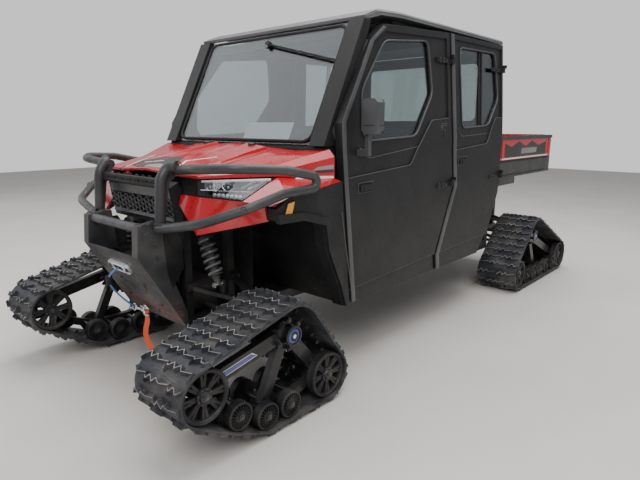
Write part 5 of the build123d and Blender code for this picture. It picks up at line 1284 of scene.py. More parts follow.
def weld(mesh, centre, axis, radius):
    """Add a weld bead round a tube's end."""
    turn = axis.normalized().to_track_quat("Z", "Y").to_matrix()
    ring = []
    for index in range(32):
        angle = math.tau * index / 32
        reach = radius + 0.0012 * (index % 2)
        ring.append(centre + turn @ Vector((reach * math.cos(angle), reach * math.sin(angle), 0)))
    bead(mesh, ring, 0.003, closed=True)


def side_at(side, behind, height, lift=0.0):
    """Return a place on the cab's side, lifted off its skin."""
    return at(side * (skin_x(height) + lift), behind, height)


def softened(outline, radius, closed=True):
    """Return an outline in (behind, height) with its corners rounded."""
    line = [Vector(spot) for spot in outline]
    made = []
    for index, spot in enumerate(line):
        if not closed and index in (0, len(line) - 1):
            made.append(spot)
            continue
        before, after = line[index - 1], line[(index + 1) % len(line)]
        cut = min(radius, (before - spot).length * 0.45, (after - spot).length * 0.45)
        made += corner_points(before, spot, after, cut, 5)
    return made


def dense(line, spacing=60.0, closed=True):
    """Return a line with more places on its long runs."""
    made = []
    pairs = list(zip(line, line[1:] + line[:1])) if closed else list(zip(line, line[1:]))
    for first, second in pairs:
        count = max(1, int((second - first).length // spacing))
        made += [first.lerp(second, index / count) for index in range(count)]
    return made if closed else made + [line[-1]]


def side_bead(mesh, side, outline, radius, lift, soft=20.0, closed=True, finish=0):
    """Add a bead on the cab's side, in millimetres."""
    line = dense(softened(outline, soft, closed=closed), closed=closed)
    bead(mesh, [side_at(side, spot.x, spot.y, lift) for spot in line], radius / 1000, closed, finish)


# Outlines on the cab's side: behind, height
FRONT_LIP = (
    (-899.0, 405.0), (-972.0, 1050.0), (-988.0, 1215.0), (-984.0, 1330.0), (-728.0, 1738.0), (-612.0, 1818.0),
)
REAR_LIP = ((-25.0, 405.0), (-41.0, 501.0), (154.0, 928.0), (119.0, 1167.0), (101.0, 1868.0))
FRONT_WINDOW = (
    (-783.0, 1240.0), (-820.0, 1290.0), (-810.0, 1490.0), (-600.0, 1750.0), (-160.0, 1795.0),
    (-120.0, 1500.0), (-311.0, 1258.0),
)
REAR_WINDOW = ((250.0, 1300.0), (225.0, 1800.0), (750.0, 1810.0), (800.0, 1500.0), (640.0, 1318.0))
FRONT_CREASE = ((-952.0, 1060.0), (-369.0, 1096.0), (-310.0, 1180.0), (-140.0, 1348.0), (58.0, 1361.0))
FRONT_CREASE_UP = ((-860.0, 1222.0), (-770.0, 1150.0), (-300.0, 1196.0))
REAR_CREASE = ((133.0, 1160.0), (611.0, 1193.0), (671.0, 1281.0), (746.0, 1371.0), (843.0, 1371.0))
REAR_CREASE_UP = ((190.0, 1300.0), (236.0, 1246.0), (640.0, 1262.0))
# Columns: place in the name, window, lip with its width and height off the skin, creases, kick line,
# middle of the handle, hinge's place along
DOORS = (
    ("front", FRONT_WINDOW, (FRONT_LIP, 30.0, 4.0), (FRONT_CREASE, FRONT_CREASE_UP),
     ((-920.0, 480.0), (-45.0, 515.0)), (-795.0, 1003.0), 100.0),
    ("rear", REAR_WINDOW, (REAR_LIP, 40.0, 5.0), (REAR_CREASE, REAR_CREASE_UP),
     ((-40.0, 512.0), (720.0, 535.0)), (262.0, 1087.0), 850.0),
)
HANDLE_CORNERS = ((-62, -26), (-62, 26), (60, 30), (60, -22))
HINGE_HEIGHTS = (950.0, 1700.0)
SLIDING_RAILS = ((((505, 1312), (520, 1800)), -17.0), (((535, 1314), (548, 1800)), -14.0))


def raised_lip(mesh, side, line, wide, lift, finish=0):
    """Add a flat lip along the cab's side: a line, its width behind it and its height off the skin."""
    profile = (
        (0.0, -4.0), (0.0, lift * 0.6), (4.0, lift), (wide - 4.0, lift), (wide, lift * 0.6), (wide, -4.0),
    )
    rings = []
    for behind, height in dense([Vector(spot) for spot in line], 70, closed=False):
        rings.append([side_at(side, behind + offset, height, high) for offset, high in profile])
    sweep(mesh, rings, finish)


class VehicleDoorTrim(Operator):
    """Make the doors' lips, window surrounds and seals, creases, handles and hinge bolts"""

    bl_idname = "vehicle.door_trim"
    bl_label = "Door trim"

    def execute(self, context):
        finishes = ["door_dark", "trim_edge", "rubber_black", "bolt_dark"]
        for side_name, side in SIDES:
            out = Vector((side, 0, 0))
            for place, window, lip, creases, kick, handle, hinge in DOORS:
                mesh = bmesh.new()
                wider = [(b + (6 if b > window[0][0] + 200 else -6), z) for b, z in window]
                # The grey beads on the window frames, creases, kick line and lip are painted highlight lines
                # along the door's edges
                side_bead(mesh, side, window, 5.0, -7.0, 46, finish=1)
                side_bead(mesh, side, wider, 3.2, -7.5, 50, finish=0)
                side_bead(mesh, side, window, 6.0, -16.0, 46, finish=2)
                for crease, lift in zip(creases, (-0.6, -8.0)):
                    side_bead(mesh, side, crease, 2.4, lift, 30, closed=False, finish=1)
                side_bead(mesh, side, kick, 1.5, 0.0, 10, closed=False, finish=1)
                raised_lip(mesh, side, *lip, 1)
                corners = [side_at(side, handle[0] + b, handle[1] + z, 0.4) for b, z in HANDLE_CORNERS]
                for pair in zip(corners, corners[1:] + corners[:1]):
                    bead(mesh, pair, 0.0022, finish=1)
                paddle_low = side_at(side, handle[0] - 30, handle[1] - 14, 8)
                paddle_high = side_at(side, handle[0] + 44, handle[1] + 14, 14)
                block(mesh, paddle_low, paddle_high, 0)
                key = side_at(side, handle[0] - 46, handle[1], 0)
                rod(mesh, key - out * 0.006, key + out * 0.004, 0.0085, 20, finish=3)
                slot, half = key + out * 0.0038, Vector((side * 0.0008, 0.0008, 0.004))
                block(mesh, slot - half, slot + half, 2)
                for height in HINGE_HEIGHTS:
                    for ahead, rise in ((70, 0), (105, -9), (105, 9), (150, -9), (150, 9)):
                        bolt(mesh, side_at(side, hinge - ahead, height + rise, 10.0), out, 0.0042, 3)
                    top = at(side * (skin_x(height) + 15), hinge, height + 17)
                    rod(mesh, top - UP * 0.003, top + UP * 0.006, 0.0085, 16, tip=0.006, finish=3)
                if place == "front":
                    for shift in (0.0, 13.0):
                        mark = ((40, 1330 - shift), (-20 + shift, 1330 - shift), (-40 + shift, 1300 - shift))
                        side_bead(mesh, side, mark, 2.0, 0.4, 12, closed=False, finish=1)
                    boss = side_at(side, 20, 1262, 0)
                    rod(mesh, boss - out * 0.003, boss + out * 0.0025, 0.030, 36, tip=0.027, finish=0)
                else:
                    for rail, lift in SLIDING_RAILS:
                        side_bead(mesh, side, rail, 7.0, lift, closed=False, finish=2)
                name, body = f"{place}_{side_name}_door_trim", f"door_{place}_{side_name}"
                finish_piece(mesh, name, body, finishes, bevel=0.0012)
        return {"FINISHED"}


def card_y(height):
    """Return the place along of the card that lies against the windshield, at a height."""
    return -1001 + (height - 1244) * 0.4966


class VehicleCabTrim(Operator):
    """Make the roof gutters, pillar and windshield gaskets, wiper arm, mirror glass and cowl vents"""

    bl_idname = "vehicle.cab_trim"
    bl_label = "Cab trim"

    def execute(self, context):
        self.gaskets()
        self.wiper_arm()
        card = bmesh.new()
        corners = oblong((14, 1244), (380, 1332))
        lying = [at(across, card_y(height), height) for across, height in corners]
        plate(card, lying, Vector((0, 0.0012, 0)), 0)
        finish_piece(card, "windshield_card", "chassis", ["decal_white"])
        self.mirror_face()
        return {"FINISHED"}

    def gaskets(self):
        """Add the windshield's gasket, the pillar strips, the roof's gutters and beads and the vents."""
        mesh = bmesh.new()
        glass = [Vector(spot) for spot in (
            (-566, -1030, 1236), (566, -1030, 1236), (566, -741, 1818), (-566, -741, 1818))]
        ring = []
        for index, spot in enumerate(glass):
            cut_off = corner_points(glass[index - 1], spot, glass[(index + 1) % 4], 60, 8)
            ring += points_at(1, cut_off)
        lifted = [spot + Vector((0, -0.004, 0.002)) for spot in ring]
        bead(mesh, lifted, 0.0085, closed=True, finish=0, fineness=3)
        for side in BOTH:
            line = ((-1036, 1232), (-900, 1510), (-760, 1800))
            for across, shift, radius in ((604, -6, 0.006), (652, 14, 0.005)):
                edge = [(behind + shift, height) for behind, height in line]
                bead(mesh, along(side, across, edge), radius, finish=1)
            clip = at(side * 622, -905, 1496)
            block(mesh, clip - Vector((0.012, 0.006, 0.008)), clip + Vector((0.012, 0.004, 0.008)), 1)
            gutter = ((-735, 1852), (-620, 1890), (-420, 1902), (0, 1902), (450, 1902), (902, 1902))
            bead(mesh, along(side, 667, gutter), 0.0048, finish=2)
            for behind in (-300, 100, 500, 840):
                bolt(mesh, at(side * 640, behind, 1915.5), UP, 0.004, 3)
            bead(mesh, [at(side * 195, behind, 1915.2) for behind in (-380, 0, 450, 880)], 0.006, finish=2)
            rings = []
            for height in (1250, 1330, 1510, 1740):
                cover = -1036 + (height - 1232) * 0.4877
                edge = -986 + max(height - 1330, 0) * 0.631
                section_spots = ((650, cover + 10), (693, edge + 14), (693, edge + 24), (650, cover + 22))
                rings.append([at(side * across, behind, height) for across, behind in section_spots])
            sweep(mesh, rings, 0)
        for behind, height in ((-735, 1856), (896, 1915)):
            bead(mesh, [at(across, behind, height) for across in (-640, -320, 0, 320, 640)], 0.005, finish=2)
        for index in range(18):
            across = -323 + 38 * index
            block(mesh, at(across - 14, -1034, 1212), at(across + 14, -1000, 1219.5), 0)
        finishes = ["rubber_black", "trim_edge", "roof_grey", "steel"]
        finish_piece(mesh, "cab_gaskets", "chassis", finishes, bevel=0.0012, sharp=50)

    def wiper_arm(self):
        """Add the wiper's boss and bolt, and the blade's strip with its clips."""
        mesh = bmesh.new()
        pivot = at(3, -775, 1768)
        nose = pivot + Vector((0, -0.022, -0.006))
        rod(mesh, nose, pivot + Vector((0, 0.006, 0.002)), 0.014, 20, tip=0.016, finish=0)
        bolt(mesh, nose, Vector((0, -1, -0.3)), 0.006, 1)
        out = Vector((0, -0.9, 0.43)) * 0.004
        low, high = at(250, -806, 1716) + out, at(559, -842, 1637) + out
        bead(mesh, [low, high], 0.0035, finish=1)
        half = Vector((0.012, 0.005, 0.004))
        for index in range(4):
            spot = low.lerp(high, (index + 0.5) / 4)
            block(mesh, spot - half, spot + half, 0)
        finish_piece(mesh, "wiper_arm_fittings", "chassis", ["trim_black", "steel"], bevel=0.001)

    def mirror_face(self):
        """Add the mirror's glass in its rim, the seam of its shell and the bolts of its foot."""
        mesh = bmesh.new()
        block(mesh, at(775, -821, 1286), at(850, -820.3, 1434), 1)
        bead(mesh, facing(-821, oblong((772, 1282), (853, 1437))), 0.003, closed=True, finish=0)
        seam = ((765, -822), (765, -862), (783, -880.5), (842, -880.5), (860, -862), (860, -822))
        bead(mesh, [at(across, behind, 1318) for across, behind in seam], 0.0016, finish=0)
        for height in (1176, 1198):
            bolt(mesh, at(742, -850, height), ACROSS, 0.0045, 2)
        finishes = ["rubber_black", "mirror_glass", "steel"]
        finish_piece(mesh, "mirror_face", "door_front_left", finishes, bevel=0.0008)


GRIP_RADIUS = 0.174


class VehicleInside(Operator):
    """Add the dashboard's vents, display and switches, and the steering wheel's grip and cap"""

    bl_idname = "vehicle.inside"
    bl_label = "Dashboard and wheel"

    def execute(self, context):
        self.dashboard()
        self.wheel_grip()
        return {"FINISHED"}

    def dashboard(self):
        """Add the vents in their frames, the display, the switches and the grab bar."""
        mesh = bmesh.new()
        for middle in (-470, -130, 190, 500):
            for index in range(5):
                height = 1040 + 11 * index
                block(mesh, at(middle - 44, -739.5, height), at(middle + 44, -733, height + 5), 0)
            surround = facing(-737, oblong((middle - 52, 1030), (middle + 52, 1098)))
            bead(mesh, surround, 0.0035, closed=True, finish=1)
        screen = ((270, -782, 1136), (410, -782, 1136), (410, -828, 1173), (270, -828, 1173))
        plate(mesh, points_at(1, screen), Vector((0, 0.004, 0.006)), 2)
        for index in range(8):
            across = -30 + 26 * index
            block(mesh, at(across, -741, 1008), at(across + 18, -735, 1022), 2)
        rod(mesh, at(-420, -728, 1016), at(-180, -728, 1016), 0.011, 16, finish=0)
        for across in (-420, -180):
            rod(mesh, at(across, -744, 1016), at(across, -722, 1016), 0.014, 16, finish=0)
        finish_piece(mesh, "dash_fittings", "chassis", ["trim_black", "trim_edge", "decal_dark"], bevel=0.001)

    def wheel_grip(self):
        """Add the steering wheel's rim, its four grips and its cap."""
        mesh = bmesh.new()
        middle, axis = at(340, -640, 1080), Vector((0, 1, 0.7)).normalized()
        turn = axis.to_track_quat("Z", "Y").to_matrix()
        first, second = turn @ Vector((GRIP_RADIUS, 0, 0)), turn @ Vector((0, GRIP_RADIUS, 0))
        bead(mesh, round_points(middle, first, second, 72), 0.0155, closed=True, fineness=4)
        for index in range(4):
            angle = 90 * (index + 0.5)
            grip = round_points(middle, first, second, 6, angle - 8, angle + 8)
            bead(mesh, grip, 0.0172, finish=1, fineness=4)
        cap = ((0.050, 0.010), (0.046, 0.020), (0.030, 0.025), (0.0, 0.026), (0.0, 0.010))
        turned(mesh, cap, middle, axis, 36, finish=1)
        finish_piece(mesh, "wheel_grip", "steering", ["rubber_black", "trim_edge"], sharp=50)


# Bench seats: the row's name and the place of its middle
SEAT_ROWS = (("front", -330.0), ("rear", 505.0))
PAD_PLACES = (-373, 0, 373)
REST_PLACES = (-373, 373)
PAD_WIDTH = 0.345
PAD_SEAMS = (-0.125, 0.125)
SEAM_WIDTH = 0.007
SEAM_DEPTH = 0.009
PAD_TILT = 2.7
BACK_TILT = 81.5
STUFFING_LIMIT = 0.010
STUFFING_FRAMES = 14


def inflated(mesh, name):
    """Puff a closed mesh with a short cloth simulation and return its mesh."""
    data = bpy.data.meshes.new(name)
    mesh.to_mesh(data)
    mesh.free()
    pad = bpy.data.objects.new(name, data)
    scene = bpy.context.scene
    scene.collection.objects.link(pad)
    bpy.context.view_layer.objects.active = pad
    remesh = pad.modifiers.new("even", "REMESH")
    remesh.mode = "VOXEL"
    remesh.voxel_size = 0.0068
    cloth = pad.modifiers.new("stuffing", "CLOTH")
    cloth.settings.effector_weights.gravity = 0
    cloth.settings.use_pressure = True
    cloth.settings.uniform_pressure_force = 4
    cloth.settings.quality = 4
    cloth.point_cache.frame_start = 1
    cloth.point_cache.frame_end = STUFFING_FRAMES
    scene.frame_set(1)
    flat = pad.evaluated_get(bpy.context.evaluated_depsgraph_get()).data
    rest = [vert.co.copy() for vert in flat.vertices]
    for frame_number in range(2, STUFFING_FRAMES + 1):
        scene.frame_set(frame_number)
    puffed = bmesh.new()
    puffed.from_mesh(pad.evaluated_get(bpy.context.evaluated_depsgraph_get()).data)
    for vert, start in zip(puffed.verts, rest):
        shift = vert.co - start
        if shift.length > STUFFING_LIMIT:
            vert.co = start + shift.normalized() * STUFFING_LIMIT
    scene.frame_set(1)
    bpy.data.objects.remove(pad)
    bmesh.ops.smooth_vert(
        puffed, verts=puffed.verts, factor=0.5, use_axis_x=True, use_axis_y=True, use_axis_z=True
    )
    made = bpy.data.meshes.new(f"{name}_ready")
    puffed.to_mesh(made)
    puffed.free()
    return made


def rounded_edges(mesh, offset, segments):
    """Round all the edges of a mesh that is being made."""
    bmesh.ops.bevel(
        mesh, geom=mesh.edges[:], offset=offset, offset_type="OFFSET", affect="EDGES", segments=segments,
        profile=0.5, material=-1,
    )


def cushion(depth, thick):
    """Return a ready cushion lying flat: its top up, its sewn channels running along its depth."""
    mesh = bmesh.new()
    bmesh.ops.create_cube(mesh, size=1, matrix=Matrix.Diagonal((PAD_WIDTH, depth, thick, 1)))
    rounded_edges(mesh, 0.028, 3)
    ready = inflated(mesh, "cushion")
    made = bmesh.new()
    made.from_mesh(ready)
    bpy.data.meshes.remove(ready)
    for vert in made.verts:
        if vert.co.z > 0:
            near = min(abs(vert.co.x - seam) for seam in PAD_SEAMS)
            cross = 1.0
            if abs(vert.co.x) < PAD_SEAMS[-1]:
                cross = min(abs(vert.co.y - row) for row in (-depth * 0.24, depth * 0.30))
            dip = math.exp(-((near / SEAM_WIDTH) ** 2)) + 0.7 * math.exp(-((cross / SEAM_WIDTH) ** 2))
            vert.co.z -= SEAM_DEPTH * min(dip, 1.0) * min(vert.co.z / (thick * 0.35), 1.0)
    return made_template(made, "cushion_ready")


class VehicleSeats(Operator):
    """Make the two bench seats: stuffed, sewn cushions and backs on moulded bases"""

    bl_idname = "vehicle.seats"
    bl_label = "Bench seats"

    def execute(self, context):
        flat, tall = cushion(0.440, 0.100), cushion(0.430, 0.085)
        lean = Matrix.Rotation(math.radians(-PAD_TILT), 4, "X")
        upright = Matrix.Rotation(math.radians(BACK_TILT), 4, "X")
        for row, middle in SEAT_ROWS:
            mesh = bmesh.new()
            for across in PAD_PLACES:
                place_copy(mesh, flat, Matrix.Translation(at(across, middle - 28, 712)) @ lean)
                place_copy(mesh, tall, Matrix.Translation(at(across, middle + 238, 985)) @ upright)
            pad = finish_piece(mesh, f"{row}_seat_pads", "chassis", ["seat_vinyl"], sharp=80)
            mesh = bmesh.new()
            for across in REST_PLACES:
                block(mesh, at(across - 120, middle + 252, 1224), at(across + 120, middle + 312, 1296), 0)
            rounded_edges(mesh, 0.022, 5)
            rest_pad = finish_piece(mesh, f"{row}_headrests", "chassis", ["seat_vinyl"], sharp=60)
            self.shell(row, middle)
            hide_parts(f"{row}_seat")
        bpy.data.meshes.remove(flat)
        bpy.data.meshes.remove(tall)
        return {"FINISHED"}

    def shell(self, row, middle):
        """Add a bench's base, its back with ribs, the base's studs and the headrests' posts."""
        mesh = bmesh.new()
        block(mesh, at(-540, middle - 228, 400), at(540, middle + 250, 636), 0)
        block(mesh, at(-558, middle - 244, 640), at(558, middle + 250, 664), 0)
        low, high = middle + 272, middle + 318
        back = ((-552, low, 664), (552, low, 664), (552, high, 1228), (-552, high, 1228))
        plate(mesh, points_at(1, back), Vector((0, 0.012, 0)), 0)
        for across in (-400, 0, 400):
            bead(mesh, along(1, across, ((middle + 288, 690), (middle + 329, 1200))), 0.004, finish=0)
            rod(mesh, at(across, middle - 229, 560), at(across, middle - 234, 560), 0.02, 18, finish=1)
        for across in REST_PLACES:
            for post in (across - 60, across + 60):
                rod(mesh, at(post, middle + 285, 1190), at(post, middle + 285, 1232), 0.006, 12, finish=1)
        finish_piece(mesh, f"{row}_seat_shell", "chassis", ["trim_black", "steel"], bevel=0.006)


# The dark flash along the bed's side: behind, height
BED_FLASH = (
    (1010, 1072), (1890, 1072), (1890, 1180), (1700, 1150), (1560, 1192), (1420, 1150), (1280, 1192),
    (1140, 1150), (1010, 1180),
)
BED_SIDE_X = 701.3
BED_REAR_Y = 2018
HOLE_RIM = ((0.013, -0.004), (0.017, -0.004), (0.017, 0.0012), (0.013, 0.0012))


class VehicleBedTrim(Operator):
    """Add the bed's rail holes, side stripes, floor ribs, lamp lenses and the tailgate's stamping"""

    bl_idname = "vehicle.bed_trim"
    bl_label = "Bed trim"

    def execute(self, context):
        self.bed_fittings()
        self.gate_stamping()
        return {"FINISHED"}

    def bed_fittings(self):
        """Add all that rides on the bed."""
        mesh = bmesh.new()
        for side in BOTH:
            out = Vector((side, 0, 0))
            for index in range(9):
                turned(mesh, HOLE_RIM, at(side * 690, 985 + 110 * index, 1234), UP, 20, finish=0)
            plate(mesh, along(side, BED_SIDE_X, BED_FLASH), out * 0.0005, 1)
            for height, wide, finish in ((1056, 11, 2), (1046, 5, 0)):
                band = along(side, BED_SIDE_X, oblong((940, height), (1955, height + wide)))
                plate(mesh, band, out * 0.0009, finish)
            mark = ((1330, 1092), (1660, 1092), (1672, 1136), (1342, 1136))
            plate(mesh, along(side, BED_SIDE_X + 0.6, mark), out * 0.0004, 3)
            for behind in (955, 1950):
                bead(mesh, along(side, 702, ((behind, 1050), (behind, 1205))), 0.006, finish=4)
            bead(mesh, along(side, 702, ((955, 1040), (1950, 1040))), 0.005, finish=0)
            bead(mesh, along(side, 703, ((945, 935), (1900, 935))), 0.004, finish=0)
            for height in (960, 1185):
                bolt(mesh, at(side * 701, 1985, height), out, 0.008, 5)
            rim = facing(BED_REAR_Y, oblong((657, 1014), (691, 1156)), side)
            bead(mesh, rim, 0.003, closed=True, finish=0)
            for index in range(9):
                height = 1024 + 15 * index
                bead(mesh, facing(BED_REAR_Y + 0.5, ((659, height), (689, height)), side), 0.0022, finish=6)
        for index in range(13):
            rib = ((985, 945.5), (1460, 945.5), (1945, 945.5))
            bead(mesh, along(1, -600 + 100 * index, rib), 0.007, finish=0)
        for side in BOTH:
            for behind, height in ((1000, 1120), (1000, 1000), (1900, 1120), (1900, 1000)):
                ring = round_points(at(side * 665, behind, height), (0, 0.016, 0), (0, 0, 0.016), 20)
                bead(mesh, ring, 0.004, closed=True, finish=5)
        finishes = ["trim_black", "decal_dark", "decal_white", "decal_grey", "red_trim", "steel", "lens_red"]
        finish_piece(mesh, "bed_fittings", "bed", finishes, bevel=0.001, sharp=40)

    def gate_stamping(self):
        """Add all that rides on the tailgate."""
        mesh = bmesh.new()
        for left, right in ((-600, -60), (60, 600)):
            ring = facing(2005, oblong((left, 975), (right, 1165)))
            bead(mesh, ring, 0.007, closed=True, finish=0)
            panel = facing(2004, oblong((left + 22, 997), (right - 22, 1143)))
            plate(mesh, panel, Vector((0, 0.006, 0)), 0)
        block(mesh, at(-90, 2002, 1180), at(90, 2010, 1214), 1)
        block(mesh, at(-62, 2009, 1188), at(62, 2013, 1206), 2)
        for across in (-640, 640):
            bolt(mesh, at(across, 2004, 1195), Vector((0, 1, 0)), 0.008, 3)
        bead(mesh, [at(across, 1990, 1229) for across in (-645, -320, 0, 320, 645)], 0.008, finish=1)
        finishes = ["red_paint", "trim_black", "trim_edge", "steel"]
        finish_piece(mesh, "tailgate_stamping", "gate", finishes, bevel=0.003)


# Corners of the red panels between headlight, fender and hood: across, behind, height
LAMP_TOP, LAMP_LOW = Vector((602, -1295, 1083)), Vector((602, -1509, 991))
CHEEK, FRONT_TOP, REAR_TOP = Vector((733, -1442, 974)), Vector((736, -1356, 1004)), Vector((736, -990, 1050))
BAND_END = Vector((730, -1042, 1068))
MARKER = ((-1391, 921), (-1340, 926), (-1322, 989), (-1366, 983))
FENDER_EDGE = ((-930, 500), (-985, 760), (-1010, 900))
SHOULDER_STRIPE = ((0.30, 0.03), (0.97, 0.03), (0.97, 0.12), (0.30, 0.12))
# Stripes on the upper band: finish, then share of the way back and rise from its lower edge
BAND_STRIPES = (
    (2, ((0.25, 0.02), (0.98, 0.02), (0.98, 0.13), (0.35, 0.13))),
    (1, ((0.50, 0.30), (0.98, 0.30), (0.98, 0.44), (0.55, 0.44))),
    (3, ((0.60, 0.46), (0.98, 0.46), (0.98, 0.66), (0.70, 0.66))),
)


def on_shoulder(share, down):
    """Return a place on the fender's shoulder, in millimetres."""
    return LAMP_TOP.lerp(BAND_END, share).lerp(FRONT_TOP.lerp(REAR_TOP, share), down)


def on_band(share, rise):
    """Return a place on the fender's upper band, in millimetres."""
    low = Vector((604, -1295, 1086)).lerp(Vector((732, -1040, 1066)), share)
    return low.lerp(Vector((604, -1295, 1110)).lerp(Vector((732, -1040, 1170)), share), rise)


class VehicleFenderTrim(Operator):
    """Add the fenders' panels, plain stripes, edge beads and markers, and the drive shafts' boots"""

    bl_idname = "vehicle.fender_trim"
    bl_label = "Fender trim"

    def execute(self, context):
        mesh, lenses = bmesh.new(), bmesh.new()
        for side in BOTH:
            out = Vector((side, 0, 0))
            bead(mesh, along(side, 740, MARKER), 0.0045, closed=True, finish=0)
            plate(lenses, along(side, 736, MARKER), out * 0.007, 0)
            # The grey bead along the fender's rear edge is a painted highlight line
            bead(mesh, along(side, 756, FENDER_EDGE), 0.003, finish=1)
            for axle in (-HALF_BASE, HALF_BASE):
                for index in range(5):
                    low, high = 0.040 - 0.002 * index, 0.046 - 0.002 * index
                    ring = ((low, 0.0), (high, 0.004), (low, 0.009), (0.026, 0.009), (0.026, 0.0))
                    turned(mesh, ring, at(side * (478 + 11 * index), axle, HUB_Z), out, 28, finish=0)
        finish_piece(lenses, "marker_lenses", "chassis", ["lens_amber"], ["side_markers"], bevel=0.0015)
        finishes = ["rubber_black", "trim_edge", "decal_white", "steel"]
        finish_piece(mesh, "fender_fittings", "chassis", finishes, bevel=0.0008)
        panels = bmesh.new()
        for side in BOTH:
            inward = Vector((side * -0.004, 0.003, 0))
            plate(panels, points_at(side, (LAMP_TOP, LAMP_LOW, CHEEK, FRONT_TOP)), inward, 0)
            plate(panels, points_at(side, (LAMP_TOP, FRONT_TOP, REAR_TOP, BAND_END)), inward, 0)
            stripe = [on_shoulder(*spot) + Vector((0.9, -0.2, 0.9)) for spot in SHOULDER_STRIPE]
            plate(panels, points_at(side, stripe), Vector((side * 0.0003, 0, 0.0003)), 2)
            for finish, outline in BAND_STRIPES:
                stripe = [on_band(*spot) + Vector((0.5, -0.3, 0)) for spot in outline]
                plate(panels, points_at(side, stripe), Vector((side * 0.0003, -0.0001, 0)), finish)
        finishes = ["red_paint", "decal_dark", "decal_white", "decal_grey"]
        finish_piece(panels, "fender_corners", "chassis", finishes)
        # A dark sheet across the engine bay: painted shade where the bay lies in shadow
        bay = bmesh.new()
        plate(bay, facing(-1236, oblong((-336, 372), (336, 860))), Vector((0, 0.004, 0)), 0)
        finish_piece(bay, "bay_shade_sheet", "chassis", ["dark_inside"])
        return {"FINISHED"}


# The photograph's camera, in the fitted frame: place, tilt, roll and turn in degrees, focal length
CAMERA_PLACE = (2.372, -2.968, 1.322)
CAMERA_TURN = (90 - 12.447, -0.078, 41.98)
FOCAL_PIXELS = 524.07
PICTURE_WIDTH = 640
SENSOR_WIDTH = 36.0
# Soft lamps: name, place, size, watts, where it points
LAMPS = (
    ("key", (3.8, -4.6, 5.2), 3.6, 230.0, (0.0, -0.8, 0.7)),
    ("fill", (-5.8, -3.8, 4.2), 7.5, 170.0, (0.0, -0.5, 0.9)),
    ("overhead", (0.0, 0.6, 5.6), 6.0, 420.0, (0.0, 0.3, 0.0)),
)


def soft_light(name, place, size, watts, target):
    """Add a square lamp that points at a place."""
    data = bpy.data.lights.new(name, "AREA")
    data.shape = "SQUARE"
    data.size = size
    data.energy = watts
    lamp = bpy.data.objects.new(name, data)
    bpy.context.scene.collection.objects.link(lamp)
    lamp.location = place
    lamp.rotation_euler = (Vector(target) - Vector(place)).to_track_quat("-Z", "Y").to_euler()


def set_camera(scene):
    """Set the camera where the photograph was taken from."""
    data = bpy.data.cameras.new("view")
    data.sensor_width = SENSOR_WIDTH
    data.lens = FOCAL_PIXELS / PICTURE_WIDTH * SENSOR_WIDTH
    camera = bpy.data.objects.new("view", data)
    across, behind, height = CAMERA_PLACE
    camera.location = (across, behind + MID_Y, height)
    camera.rotation_euler = Euler([math.radians(turn) for turn in CAMERA_TURN], "XYZ")
    scene.collection.objects.link(camera)
    scene.camera = camera


def lay_floor(scene, half_size, colour):
    """Lay a plain pale floor just under the ground's level."""
    graph = Graph("pale_floor")
    darker, lighter = [part * 0.96 for part in colour], [min(part * 1.03, 1.0) for part in colour]
    graph.set(Base_Color=graph.mottle(1.3, 8.0, 0.35, 0.65, darker, lighter), Roughness=0.85)
    graph.bump(graph.noise(160.0, 4.0), 0.0004)
    flat = bmesh.new()
    bmesh.ops.create_grid(flat, x_segments=2, y_segments=2, size=half_size)
    bmesh.ops.translate(flat, verts=flat.verts, vec=(0, 0, -0.0006))
    ground = bpy.data.meshes.new("floor")
    flat.to_mesh(ground)
    flat.free()
    floor = bpy.data.objects.new("floor", ground)
    scene.collection.objects.link(floor)
    ground.materials.append(graph.material)


def light_world(scene, strength):
    """Light the scene evenly, with a plain pale backdrop where the camera sees it."""
    world = bpy.data.worlds.new("studio")
    scene.world = world
    world.use_nodes = True
    tree = world.node_tree
    soft = tree.nodes["Background"]
    soft.inputs["Color"].default_value = tint(0.93, 0.96, 1.0)
    soft.inputs["Strength"].default_value = strength
    pale = tree.nodes.new("ShaderNodeBackground")
    pale.inputs["Color"].default_value = tint(0.90, 0.90, 0.91)
    pale.inputs["Strength"].default_value = 1.0
    rays = tree.nodes.new("ShaderNodeLightPath")
    seen = tree.nodes.new("ShaderNodeMath")
    seen.operation = "MAXIMUM"
    mixed = tree.nodes.new("ShaderNodeMixShader")
    for output, socket in (
        (rays.outputs["Is Camera Ray"], seen.inputs[0]),
        (rays.outputs["Is Transmission Ray"], seen.inputs[1]),
        (seen.outputs[0], mixed.inputs[0]),
        (soft.outputs[0], mixed.inputs[1]),
        (pale.outputs[0], mixed.inputs[2]),
        (mixed.outputs[0], tree.nodes["World Output"].inputs["Surface"]),
    ):
        tree.links.new(output, socket)


class VehicleStage(Operator):
    """Set the camera at the photograph's angle, the plain pale floor and the soft studio light"""

    bl_idname = "vehicle.stage"
    bl_label = "Camera, floor and light"

    def execute(self, context):
        scene = context.scene
        set_camera(scene)
        lay_floor(scene, scene.vehicle_sizes.floor_size, scene.vehicle_colours.floor)
        light_world(scene, scene.vehicle_sizes.world_strength)
        for lamp in LAMPS:
            soft_light(*lamp)
        return {"FINISHED"}


COLOUR = {"subtype": "COLOR", "size": 3, "min": 0.0, "max": 1.0}
LENGTH = {"subtype": "DISTANCE", "unit": "LENGTH"}


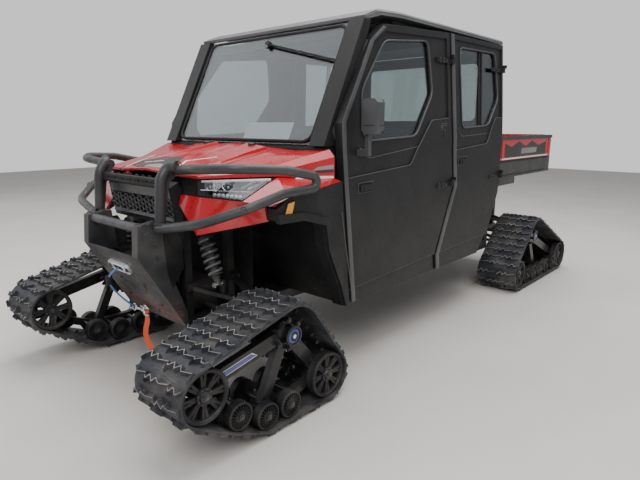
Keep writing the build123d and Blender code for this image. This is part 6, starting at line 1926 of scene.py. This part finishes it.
class VehicleColours(PropertyGroup):
    """The colours a user would change"""

    paint: FloatVectorProperty(name="Paint", description="Body paint", default=(0.56, 0.010, 0.018), **COLOUR)
    paint_shade: FloatVectorProperty(
        name="Paint shade", description="Body paint where it looks deeper", default=(0.50, 0.008, 0.015),
        **COLOUR,
    )
    floor: FloatVectorProperty(name="Floor", description="Studio floor", default=(0.70, 0.66, 0.61), **COLOUR)


class VehicleSizes(PropertyGroup):
    """The sizes a user would change"""

    belt_width: FloatProperty(name="Belt width", description="Width of a track belt", default=0.318, **LENGTH)
    lug_pitch: FloatProperty(
        name="Lug pitch", description="Distance between rows of lugs", default=0.064, **LENGTH
    )
    floor_size: FloatProperty(
        name="Floor size", description="Half the side of the floor", default=14.0, **LENGTH
    )
    world_strength: FloatProperty(name="Sky", description="Strength of the even light", default=0.42, min=0.0)


MAKERS = (
    VehicleStage, VehicleCords, VehicleFinishes, VehicleBelts, VehicleWheels, VehicleUnitTrim, VehicleShocks,
    VehicleHoodTrim, VehicleHeadlights, VehicleFrontTrim, VehicleFenderTrim, VehicleDoorTrim, VehicleCabTrim,
    VehicleInside, VehicleSeats, VehicleBedTrim,
)


class VIEW3D_PT_vehicle(Panel):
    """List the vehicle's makers and settings"""

    bl_label = "Tracked utility vehicle"
    bl_space_type = "VIEW_3D"
    bl_region_type = "UI"
    bl_category = "Vehicle"

    def draw(self, context):
        for settings in (context.scene.vehicle_colours, context.scene.vehicle_sizes):
            for key in settings.__annotations__:
                self.layout.prop(settings, key)
        for maker in MAKERS:
            self.layout.operator(maker.bl_idname)


CLASSES = (VehicleColours, VehicleSizes) + MAKERS + (VIEW3D_PT_vehicle,)


def register():
    for kind in CLASSES:
        bpy.utils.register_class(kind)
    bpy.types.Scene.vehicle_colours = PointerProperty(type=VehicleColours)
    bpy.types.Scene.vehicle_sizes = PointerProperty(type=VehicleSizes)


def unregister():
    del bpy.types.Scene.vehicle_sizes
    del bpy.types.Scene.vehicle_colours
    for kind in reversed(CLASSES):
        bpy.utils.unregister_class(kind)


def main():
    """Make every piece in order."""
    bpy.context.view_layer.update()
    register()
    for maker in MAKERS:
        group, name = maker.bl_idname.split(".")
        getattr(getattr(bpy.ops, group), name)()


if __name__ == "__main__":
    main()
